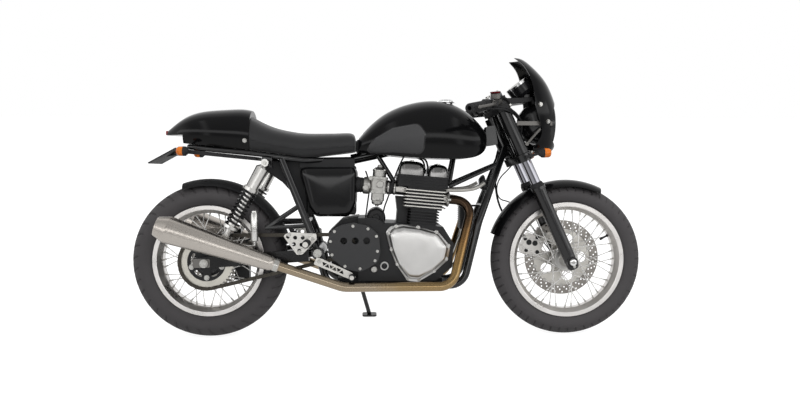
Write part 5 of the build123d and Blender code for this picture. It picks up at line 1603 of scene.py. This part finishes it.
@dataclass
class Engine:
    """Air-cooled parallel twin with its carburettors, cooler and plumbing."""

    bench: Bench
    case_half: float = 115.0
    carb_x: float = -192.0
    inlet_up: float = 140.0
    cam_domes: tuple[Point, ...] = ((-62, 54, 55), (47, 42, 50))

    def build(self) -> None:
        """Dresses the engine."""
        self.bench.copies(
            ("crankcase", Finish.ENGINE, 5.0), ("cylinders", Finish.FIN, 0.8),
            ("cylinder_head", Finish.FIN, 0.8), ("carburettors", Finish.CAST, 2.5),
            ("oil_cooler", Finish.ENGINE, 1.0))
        self.covers()
        self.domes()
        self.castings()
        self.sights()
        self.carburettor_tops()
        self.cooler()
        self.plumbing()
        self.horn()

    def covers(self) -> None:
        """Domed clutch and alternator covers with bossed screws, and the bored sprocket cover."""
        outline = rounded([(-12, 440), (8, 462), (50, 470), (122, 459), (192, 440), (238, 384),
                           (227, 330), (172, 280), (114, 247), (72, 251), (28, 312), (4, 372)], 26, 6)
        rim = [(-4, 438), (24, 465), (112, 461), (186, 441), (234, 386), (226, 334), (176, 286),
               (116, 252), (72, 256), (30, 314), (6, 374)]
        profile = [(1.05, 0), (1.05, 8), (1.035, 10), (0.985, 11.5), (0.965, 15), (0.95, 21),
                   (0.925, 26.6), (0.88, 30.8), (0.8, 33.6), (0.65, 35.2), (0.4, 36), (0.15, 36.2)]
        screws = []
        for name, side in (("clutch_cover", RIGHT), ("alternator_cover", LEFT)):
            cover = Solid().dome(outline, (112, 372), self.case_half, side, profile)
            for x, z in rim:
                cover.rod((x, side * self.case_half, z), (x, side * (self.case_half + 13), z), 9.5, 2)
                screws.append(((x, side * (self.case_half + 13), z), (0, side, 0)))
            self.bench.piece(f"{name}_dome", cover, Finish.COVER, replaces=[name], sharp=44)
        drive = rounded([(-254, 404), (-238, 450), (-196, 474), (-150, 482), (-88, 470), (-46, 432),
                         (-40, 366), (-50, 324), (-92, 298), (-122, 285), (-182, 296), (-246, 350)], 26, 5)
        self.bench.drilled("sprocket_cover_plate", [drive],
                           [(-187, 410, 14.0), (-141, 410, 14.0), (-95, 410, 14.0)], 31.0,
                           (0, -self.case_half, 0), Finish.CASE, replaces=["sprocket_cover"], bevel=5.0)
        for x, z in ((-240, 408), (-224, 448), (-150, 469), (-90, 458), (-56, 428), (-52, 368),
                     (-62, 330), (-122, 298), (-182, 308), (-234, 354)):
            screws.append(((x, -self.case_half - 31, z), (0, -1, 0)))
        self.bench.fasteners("cover_screws", screws, Head(4.6, 4.0, sides=14, washer=6.0))

    def castings(self) -> None:
        """Starter motor, the barrels' rear casting, the head's upper fins and the cam covers' bolts."""
        motor = Solid().rod((-57, -82, 498), (-57, 82, 498), 39, 8, 40)
        motor.rod((-57, -94, 498), (-57, -80, 498), 16, 3)
        self.bench.piece("starter_motor", motor, Finish.ENGINE)
        block = [(-58, -12), (-106, -12), (-106, 46), (-118, 106), (-58, 106)]
        rings = [[on_engine(x, y, up) for x, up in block] for y in (-66, 66)]
        self.bench.piece("barrel_rear_casting", Solid().loft(rings), Finish.ENGINE, bevel=5.0)
        fins = Solid()
        edge = rounded([(-122, -126), (94, -126), (94, 126), (-122, 126)], 18)
        for low in (157, 168, 179, 190):
            fins.loft([[on_engine(x, y, low + lift) for x, y in edge] for lift in (0, 3.5)])
        self.bench.piece("head_top_fins", fins, Finish.ENGINE, bevel=0.8)
        up = on_engine(0, 0, 1) - on_engine(0, 0, 0)
        tops = [(on_engine(x, y, HEAD_TOP + tall), up) for x, _, tall in self.cam_domes for y in (-72, 0, 72)]
        self.bench.fasteners("cam_cover_bolts", tops, Head(6.0, 4.0, sides=16, washer=9.0))

    def domes(self) -> None:
        """Cam covers with upright flanks and round crowns."""
        domes = Solid()
        for x, half, tall in self.cam_domes:
            rings = []
            for share, inset in ((-0.12, 0), (0.3, 0), (0.52, 1.5), (0.72, 5), (0.86, 10.5),
                                 (0.95, 18), (1.0, 29)):
                long, wide = half - inset, 116 - inset
                outline = rounded([(-long, -wide), (long, -wide), (long, wide), (-long, wide)], 34, 6)
                rings.append([on_engine(x + p, q, HEAD_TOP + tall * share) for p, q in outline])
            domes.loft(rings)
        # The domes take the darkened aluminium, whose colour carries painted shade.
        self.bench.piece("cam_cover_domes", domes, Finish.DOME, replaces=["cam_covers"], sharp=50)

    def sights(self) -> None:
        """Oil sight with its ring and the filler cap, on the right."""
        sight = (-24, -self.case_half, 305)
        ring = Solid().lathe(sight, -ACROSS, [(0, 11), (0, 18), (6, 18), (8, 16), (8, 13), (3, 11)],
                             32, ring=True)
        self.bench.piece("oil_sight_ring", ring, Finish.COVER)
        lens = Solid().lathe(sight, -ACROSS, [(-0.5, 0), (-0.5, 12), (4, 12), (4.6, 8), (4.8, 0)], 28)
        self.bench.piece("oil_sight_glass", lens, Finish.GAUGE)
        cap = Solid().lathe((-66, -self.case_half, 292), (0, -1, 0),
                            [(0, 0), (0, 13), (8, 13), (10, 11), (10, 0)], 12)
        self.bench.piece("oil_filler_cap", cap, Finish.CAST, bevel=0.8)

    def carburettor_tops(self) -> None:
        """Diaphragm tops, float bowls, rubbers and clips of the carburettors, and the airbox."""
        tops, rubbers, clips, spots = Solid(), Solid(), Solid(), []
        up = on_engine(0, 0, 1) - on_engine(0, 0, 0)
        ahead = on_engine(1, 0, 0) - on_engine(0, 0, 0)
        knobs = ((-186, 84, 104, 150, 15, 2), (-214, 80, 102, 118, 8, 1), (-168, 80, 100, 118, 7, 1),
                 (-244, 80, 112, 132, 12, 2), (-226, 84, 106, 172, 9, 1))
        for side in SIDES:
            at = on_engine(self.carb_x, side * BORE_Y, 203)
            tops.lathe(at, up, [(0, 0), (0, 30), (5, 30), (7, 27), (14, 20), (16, 12), (26, 9), (27, 0)], 36)
            bowl = on_engine(self.carb_x, side * BORE_Y, 82)
            tops.lathe(bowl, -up, [(-8, 0), (-8, 27), (-3, 27), (0, 24), (14, 22), (18, 14), (18, 8),
                                   (24, 7), (24, 0)], 32)
            rubbers.lathe(on_engine(-121, side * BORE_Y, self.inlet_up), -ahead, [
                (0, 0), (0, 28), (9, 28), (11, 26), (15, 26), (17, 28), (20, 28), (22, 26), (26, 26),
                (28, 28), (36, 28), (37, 0)], 32)
            for x in (-126, -152):
                clips.lathe(on_engine(x, side * BORE_Y, self.inlet_up), ahead,
                            [(-3, 27.4), (-3, 29.4), (3, 29.4), (3, 27.4)], 36, ring=True)
            for x, y in circle(1.0, 4, 0.5):
                spots.append((on_engine(self.carb_x + 28 * x, side * BORE_Y + 28 * y, 207), up))
                spots.append((on_engine(self.carb_x + 23 * x, side * BORE_Y + 20 * y, 82), -up))
            for x, near, far, rise, radius, chamfer in knobs[:3]:
                tops.rod(on_engine(x, side * near, rise), on_engine(x, side * far, rise), radius, chamfer)
            tops.lathe(on_engine(-232, side * BORE_Y, self.inlet_up), -ahead,
                       [(-4, 0), (-4, 31), (3, 35), (20, 35), (23, 30), (23, 0)], 36)
            for x, near, far, rise, radius, chamfer in knobs[3:]:
                tops.rod(on_engine(x, side * near, rise), on_engine(x, side * far, rise), radius, chamfer)
            rubbers.lathe(on_engine(-254, side * BORE_Y, self.inlet_up), -ahead, [
                (0, 0), (0, 29), (6, 29), (8, 31), (12, 31), (14, 29), (18, 31), (22, 31), (24, 33),
                (34, 33), (34, 0)], 32)
        self.bench.piece("carburettor_bowls", tops, Finish.CAST, bevel=0.8)
        airbox = Solid().box((-338, -70, 510), (-140, 70, 712))
        self.bench.piece("airbox_case", airbox, Finish.PLASTIC, replaces=["airbox"], bevel=8.0)
        self.bench.piece("inlet_rubbers", rubbers, Finish.RUBBER)
        self.bench.piece("inlet_clips", clips, Finish.STEEL)
        self.bench.fasteners("carburettor_screws", spots, SCREW)

    def cooler(self) -> None:
        """Oil cooler's fins."""
        fins = Solid()
        for k in range(11):
            z = 454 + k * 8.2
            fins.box((290, -38, z), (323, 38, z + 2.4))
        self.bench.piece("oil_cooler_fins", fins, Finish.ENGINE)

    def plumbing(self) -> None:
        """Hoses, oil lines, plug leads and cables on the engine."""
        bench = self.bench
        bench.cable("air_hose", [
            [on_engine(40, side * 100, 156), on_engine(90, side * 112, 150), (290, side * 116, 612),
             (352, side * 112, 618), (384, side * 96, 640)] for side in SIDES], 8.0, Finish.BRAID)
        bench.cable("oil_lines", [
            [(306, side * 30, 450), (306, side * 62, 420), (298, side * 84, 400), (276, side * 96, 330),
             (244, side * 100, 290), (222, side * 98, 284)] for side in SIDES], 5.5, Finish.STEEL)
        bench.cable("plug_leads", [
            [on_engine(4, side * 84, 210), on_engine(2, side * 90, 262), (120, side * 70, 748),
             (80, side * 30, 758)]
            for side in SIDES], 4.0, Finish.RUBBER)
        bench.cable("engine_cables", [
            [(-26, -120, 478), (-34, -126, 520), (-2, -118, 600), (30, -84, 700), (60, -40, 752)],
            [(-100, -40, 690), (-80, -60, 640), (-92, -70, 560), (-100, -70, 500)]], 3.2, Finish.RUBBER)

    def horn(self) -> None:
        """Disc horn between the down tubes."""
        horn = Solid().lathe((392, -34, 640), (1, 0, 0.15), [
            (-18, 0), (-18, 20), (-8, 30), (0, 34), (4, 34), (6, 31), (3, 24), (6, 12), (7, 0)], 40)
        self.bench.piece("horn", horn, Finish.ENGINE)


@dataclass
class Exhaust:
    """Header pipes and tapered silencers."""

    bench: Bench
    start: Vector = field(default_factory=lambda: Vector((-440.0, 192.0, 316.0)))
    end: Vector = field(default_factory=lambda: Vector((-905.0, 226.0, 478.0)))

    def build(self) -> None:
        """Dresses the exhaust."""
        self.bench.copy("header_pipes", Finish.PIPE)
        self.silencers()
        self.flanges()

    def silencers(self) -> None:
        """Tapered silencers with a rolled seam, end cone and dark bore."""
        shells, bores, bands = Solid(), Solid(), Solid()
        long = (self.end - self.start).length
        for side in SIDES:
            start, end = mirrored((self.start, self.end), side)
            axis = end - start
            shells.lathe(start, axis, [
                (0.3, 19.3), (0.3, 24), (26, 25), (34, 29), (40, 29.6), (long - 50, 53.4), (long - 46, 53.8),
                (long - 42, 52.6), (long - 6, 39.6), (long - 2, 38.8), (long, 37.2), (long, 34),
                (long - 3, 33.4), (long - 58, 33.2), (long - 58, 29)],
                96, ring=True)
            bores.lathe(start, axis, [(long - 60, 0), (long - 60, 33), (long - 57, 33), (long - 57, 0)], 48)
            bands.lathe(start, axis, [(4, 23.6), (4, 26.4), (20, 26.4), (20, 23.6)], 48, ring=True)
        self.bench.piece("silencer_shells", shells, Finish.SILENCER, replaces=["silencers"], sharp=24)
        self.bench.piece("silencer_bores", bores, Finish.SOOT)
        self.bench.piece("silencer_clamps", bands, Finish.STEEL)

    def flanges(self) -> None:
        """Port flanges with their nuts."""
        flanges, spots = Solid(), []
        ahead = on_engine(1, 0, 0) - on_engine(0, 0, 0)
        for side in SIDES:
            port = on_engine(PORT_X, side * BORE_Y, PORT_UP)
            flanges.lathe(port, ahead, [(0.4, 19.2), (0.4, 31), (9, 31), (11, 27), (11, 19.2)], 40, ring=True)
            for dy in (-34, 34):
                flanges.rod(port + ACROSS * dy, port + ACROSS * dy + ahead * 8, 9, 1)
                spots.append((port + ACROSS * dy + ahead * 8, ahead))
        self.bench.piece("port_flanges", flanges, Finish.CAST, bevel=0.6)
        self.bench.fasteners("port_nuts", spots, M8)


@dataclass
class Bodywork:
    """Tank, knee pads, seat, tail, side covers and rear lamps."""

    bench: Bench
    seat_rows: tuple[tuple[float, float, float, float], ...] = (
        (-140, 772, 820, 84), (-158, 767, 846, 98), (-240, 757, 846, 106), (-344, 746, 846, 112),
        (-410, 754, 854, 116), (-470, 763, 868, 118), (-520, 769, 888, 118), (-565, 776, 912, 117))
    row_steps: int = 10

    def build(self) -> None:
        """Dresses the bodywork."""
        self.bench.copy("fuel_tank", Finish.BODY, bevel=2.0, slot="tank_black")
        self.bench.copy("tail_cowl", Finish.BODY, bevel=3.0)
        self.side_covers()
        self.filler()
        self.knee_pads()
        self.seat()
        self.lamps()
        self.fixings()

    def side_covers(self) -> None:
        """Bulged side covers."""
        outline = rounded([(-374, 706), (-134, 706), (-138, 560), (-164, 504), (-304, 504),
                           (-330, 544)], 30, 6)
        covers = Solid()
        for side in SIDES:
            covers.dome(outline, (-246, 612), 70.3, side, [
                (1.0, 0), (1.0, 14), (0.992, 23), (0.97, 32), (0.93, 39.5), (0.87, 44.6), (0.78, 48),
                (0.64, 50.6), (0.46, 52.2), (0.28, 53), (0.1, 53.3)])
        self.bench.piece("side_cover_shells", covers, Finish.GLOSS, replaces=["side_covers"], sharp=50)

    def filler(self) -> None:
        """Hinged filler cap on its flange."""
        at = Vector((236, 0, 966))
        cap = Solid().lathe(at, UP, [(-20, 0), (-20, 30.5), (8, 30.5), (10, 38), (13, 38), (15, 34), (17, 30),
                                     (21, 28), (22, 0)], 48)
        cap.box((198, -9, 974), (212, 9, 984))
        cap.box((262, -7, 976), (278, 7, 985))
        self.bench.piece("filler_cap_fine", cap, Finish.CAP, replaces=["filler_cap"], bevel=0.8)

    def knee_pads(self) -> None:
        """Rubber knee pads laid onto the tank's flanks."""
        pads, trims = Solid(), Solid()
        rise = ((1.0, -1.0), (1.0, 1.6), (0.97, 3.2), (0.9, 4.4), (0.7, 5.0), (0.4, 5.2), (0.12, 5.2))
        rim = ((1.0, -1.0), (1.045, -1.0), (1.045, 1.6), (1.02, 2.4), (1.0, 1.8))
        for side in SIDES:
            pads.loft([self.knee_ring(side, *row) for row in rise])
            trims.loft([self.knee_ring(side, *row) for row in rim], closed=True)
        self.bench.piece("knee_pads", pads, Finish.PAD)
        self.bench.piece("knee_pad_trims", trims, Finish.FRAME)

    def knee_ring(self, side: int, share: float, lift: float) -> list[Vector]:
        """Ring on the tank's flank: a share of the knee pad's outline, lifted off the tank."""
        outline = rounded([(-101, 764), (131, 757), (137, 842), (112, 880), (10, 862), (-60, 822)], 34, 8)
        hub = Vector((26, 812))
        ring = []
        for p in outline:
            q = hub + (Vector(p) - hub) * share
            found = self.bench.hit("fuel_tank", (q.x, side * 400, q.y), (0, -side, 0))
            on = found[0] if found else Vector((q.x, side * 110, q.y))
            ring.append(on + ACROSS * side * lift)
        return ring

    def seat(self) -> None:
        """Stuffed seat with a soft crown, tucked sides and a sewn welt."""
        rows = []
        for i in range(len(self.seat_rows) - 1):
            before = self.seat_rows[max(i - 1, 0)]
            a, b = self.seat_rows[i], self.seat_rows[i + 1]
            after = self.seat_rows[min(i + 2, len(self.seat_rows) - 1)]
            for t in (k / self.row_steps for k in range(self.row_steps)):
                rows.append(tuple(between(*values, t) for values in zip(before, a, b, after)))
        rows.append(self.seat_rows[-1])
        rings = [self.seat_ring(*row, pull=min(1.0, 0.82 + 0.18 * i / 6)) for i, row in enumerate(rows)]
        pad = self.bench.piece("seat_pad", Solid().loft(rings), Finish.LEATHER, replaces=["seat"], sharp=60)
        welts = Solid()
        for side in SIDES:
            line = [Vector((x, side * (half * 0.99 + 0.4), floor + 0.3 * (top - floor)))
                    for x, floor, top, half in rows[4:]]
            for a, b in zip(line, line[1:]):
                welts.rod(a, b, 1.6, 0.0, 8)
        self.bench.piece("seat_welts", welts, Finish.THREAD)

    @staticmethod
    def seat_ring(x: float, floor: float, top: float, half: float, pull: float = 1.0) -> list[Vector]:
        """Cross-section of the seat at x, pulled in towards its middle near the nose."""
        tall = top - floor
        low, wide = (0.86 * half, floor), (half, floor + 0.36 * tall)
        shoulder = (0.66 * half, floor + 0.9 * tall)
        flank = arc_through(low, wide, shoulder, 10)
        crown = arc_through(shoulder, (0, top), (-shoulder[0], shoulder[1]), 14)
        outline = flank[:-1] + crown[:-1] + [(-y, z) for y, z in reversed(flank)]
        outline += [(-low[0] + 2 * low[0] * k / 8, floor) for k in range(1, 8)]
        mid = floor + 0.45 * tall
        return [Vector((x, y * pull, mid + (z - mid) * pull)) for y, z in outline]

    def lamps(self) -> None:
        """Tail lamp and rear indicators."""
        lamp = Solid().plate(rounded([(-19, 837), (19, 837), (19, 855), (-19, 855)], 6), (-912.4, 0, 0),
                             ACROSS, UP, -9)
        self.bench.piece("tail_lamp_lens", lamp, Finish.RED, replaces=["tail_lamp"], bevel=2.0)
        cups, lenses = Solid(), Solid()
        for side in SIDES:
            cups.rod((-820, side * 84, 768), (-820, side * 132, 768), 7)
            cups.lathe((-800, side * 140, 768), -FORWARD,
                       [(0, 0), (0, 10), (10, 19), (20, 19.3), (20, 0)], 32)
            lenses.lathe((-820, side * 140, 768), -FORWARD,
                         [(0, 0), (0, 19), (18, 18.4), (24, 14), (27, 7), (27.5, 0)], 32)
        self.bench.piece("rear_indicator_cups", cups, Finish.PLASTIC, replaces=["rear_indicators"])
        self.bench.piece("rear_indicator_lenses", lenses, Finish.AMBER)

    def fixings(self) -> None:
        """Dome-headed fixings of the tail cowl."""
        spots = [self.bench.hit("tail_cowl", (-583, side * 300, 812), (0, -side, 0)) for side in SIDES]
        self.bench.fasteners("body_fixings", spots, DOME)


@dataclass
class Studio:
    """White studio: floor, soft boxes, world and the camera at the photograph's angle."""

    bench: Bench
    target: Point = (44.0, 0.0, 568.0)
    distance: float = 3000.0
    yaw: float = 2.2
    pitch: float = 2.2
    view_width: float = 3368.0

    def build(self) -> None:
        """Sets the stage."""
        scene = bpy.context.scene
        scene.view_settings.view_transform = "Standard"
        self.world()
        self.floor()
        self.lights()
        self.camera()

    def world(self) -> None:
        """White to the eye, a plain grey light, and a room with bright strips in front for reflections."""
        world = bpy.data.worlds.new("white studio")
        bpy.context.scene.world = world
        tree = cleared(world)
        path = put(tree, "ShaderNodeLightPath").outputs
        ways = put(tree, "ShaderNodeSeparateXYZ",
                   {0: put(tree, "ShaderNodeTexCoord").outputs["Generated"]}).outputs
        across = maths(tree, "ABSOLUTE", ways["X"])
        spans = ((ways["Y"], (0.0, 0.4), 1.0), (ways["Z"], (0.3, 0.85), 0.56), (across, (0.72, 0.92), 1.0))
        walls = [ranged(tree, way, span, (0.46, bright), interpolation_type="SMOOTHSTEP")
                 for way, span, bright in spans]
        room = maths(tree, "MAXIMUM", maths(tree, "MAXIMUM", walls[0], walls[1]), walls[2])
        front = maths(tree, "LESS_THAN", ways["Y"], -0.1)
        for way, middle, half, glow in (("Z", 0.28, 0.1, 2.8), ("X", 0.5, 0.06, 1.5), ("X", -0.5, 0.06, 1.5)):
            off = maths(tree, "ABSOLUTE", maths(tree, "SUBTRACT", ways[way], middle))
            strip = ranged(tree, off, (half - 0.04, half + 0.04), (glow, 0.0))
            room = maths(tree, "MAXIMUM", room, maths(tree, "MULTIPLY", strip, front))
        glossy = put(tree, "ShaderNodeMix", {"Factor": path["Is Glossy Ray"], 2: 0.68, 3: room},
                     data_type="FLOAT")
        seen = maths(tree, "MAXIMUM", path["Is Camera Ray"], path["Is Transmission Ray"])
        level = maths(tree, "MAXIMUM", seen, glossy)
        white = put(tree, "ShaderNodeBackground", {"Color": (1, 1, 1, 1), "Strength": level})
        put(tree, "ShaderNodeOutputWorld", {"Surface": white})

    def floor(self) -> None:
        """White paper floor that keeps a faint shadow under the machine."""
        mesh = bpy.data.meshes.new("studio_floor")
        mesh.from_pydata([(-9, -9, 0), (9, -9, 0), (9, 9, 0), (-9, 9, 0)], [], [(0, 1, 2, 3)])
        floor = linked("studio_floor", mesh)
        material = bpy.data.materials.new("white paper floor")
        tree = cleared(material)
        path = put(tree, "ShaderNodeLightPath").outputs
        seen = maths(tree, "MULTIPLY_ADD", path["Is Glossy Ray"], 0.5, path["Is Camera Ray"])
        level = ranged(tree, seen, (0.0, 1.0), (0.25, 0.88))
        paper = put(tree, "ShaderNodeBsdfDiffuse", {"Color": linear("#959595")})
        glow = put(tree, "ShaderNodeEmission", {"Color": (1, 1, 1, 1), "Strength": level})
        both = put(tree, "ShaderNodeAddShader", {0: paper, 1: glow})
        put(tree, "ShaderNodeOutputMaterial", {"Surface": both})
        mesh.materials.append(material)

    def lights(self) -> None:
        """A long overhead box, a large key from the right front and a low fill from behind."""
        for name, at, size, power in (("overhead box", (0.0, -0.6, 3.4), (5.0, 3.0), 70.0),
                                      ("key box", (1.2, -3.6, 2.6), (4.2, 3.0), 85.0),
                                      ("rear fill", (-2.0, 3.0, 2.0), (3.0, 2.4), 40.0)):
            lamp = bpy.data.lights.new(name, "AREA")
            lamp.shape = "RECTANGLE"
            lamp.size, lamp.size_y = size
            lamp.energy = power
            box = linked(name, lamp)
            box.location = at
            box.visible_glossy = False
            box.rotation_euler = (Vector((0, 0, 0.5)) - Vector(at)).to_track_quat("-Z", "Y").to_euler()

    def camera(self) -> None:
        """Camera placed against the upright machine and leaned with it."""
        yaw, pitch = math.radians(self.yaw), math.radians(self.pitch)
        back = Vector((-math.sin(yaw) * math.cos(pitch), -math.cos(yaw) * math.cos(pitch), math.sin(pitch)))
        eye = Vector(self.target) + back * self.distance
        side = back.cross(UP).normalized() * -1
        rise = back.cross(side)
        turn = Matrix([self.bench.heading(way) for way in (side, rise, back)]).transposed()
        data = bpy.data.cameras.new("photo camera")
        data.sensor_width = 36.0
        data.lens = 36.0 * self.distance / self.view_width
        camera = linked("photo camera", data)
        camera.matrix_world = Matrix.Translation(self.bench.spot(eye)) @ turn.to_4x4()
        bpy.context.scene.camera = camera


def main() -> None:
    """Builds the machine and its studio, logging each piece's face count."""
    logging.basicConfig(level=logging.INFO, format="%(message)s")
    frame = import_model()
    bench = Bench.for_frame(frame)
    Studio(bench).build()
    steering = bench.on("steering")
    assemblies = (
        Wheel(bench.on("front_wheel"), "front", FRONT_AXLE, radius=317.0, width=100.0, bead=228.6,
              rim_half=40.0, hub_radius=50.0, hub_y=28.0, disc_y=50.0, disc_radius=160.0, disc_inner=122.0,
              carrier_holes=(5, 82.0, 24.0), tread=Tread.RIBBED),
        Wheel(bench.on("rear_wheel"), "rear", REAR_AXLE, radius=319.0, width=130.0, bead=215.9, rim_half=53.0,
              hub_radius=62.0, hub_y=40.0, disc_y=78.0, disc_radius=127.0, disc_inner=92.0,
              carrier_holes=(6, 64.0, 13.0), tread=Tread.SPORT),
        FinalDrive(bench), Fork(steering), Cockpit(steering), Chassis(bench), Engine(bench), Exhaust(bench),
        Bodywork(bench))
    for assembly in assemblies:
        assembly.build()


if __name__ == "__main__":
    main()
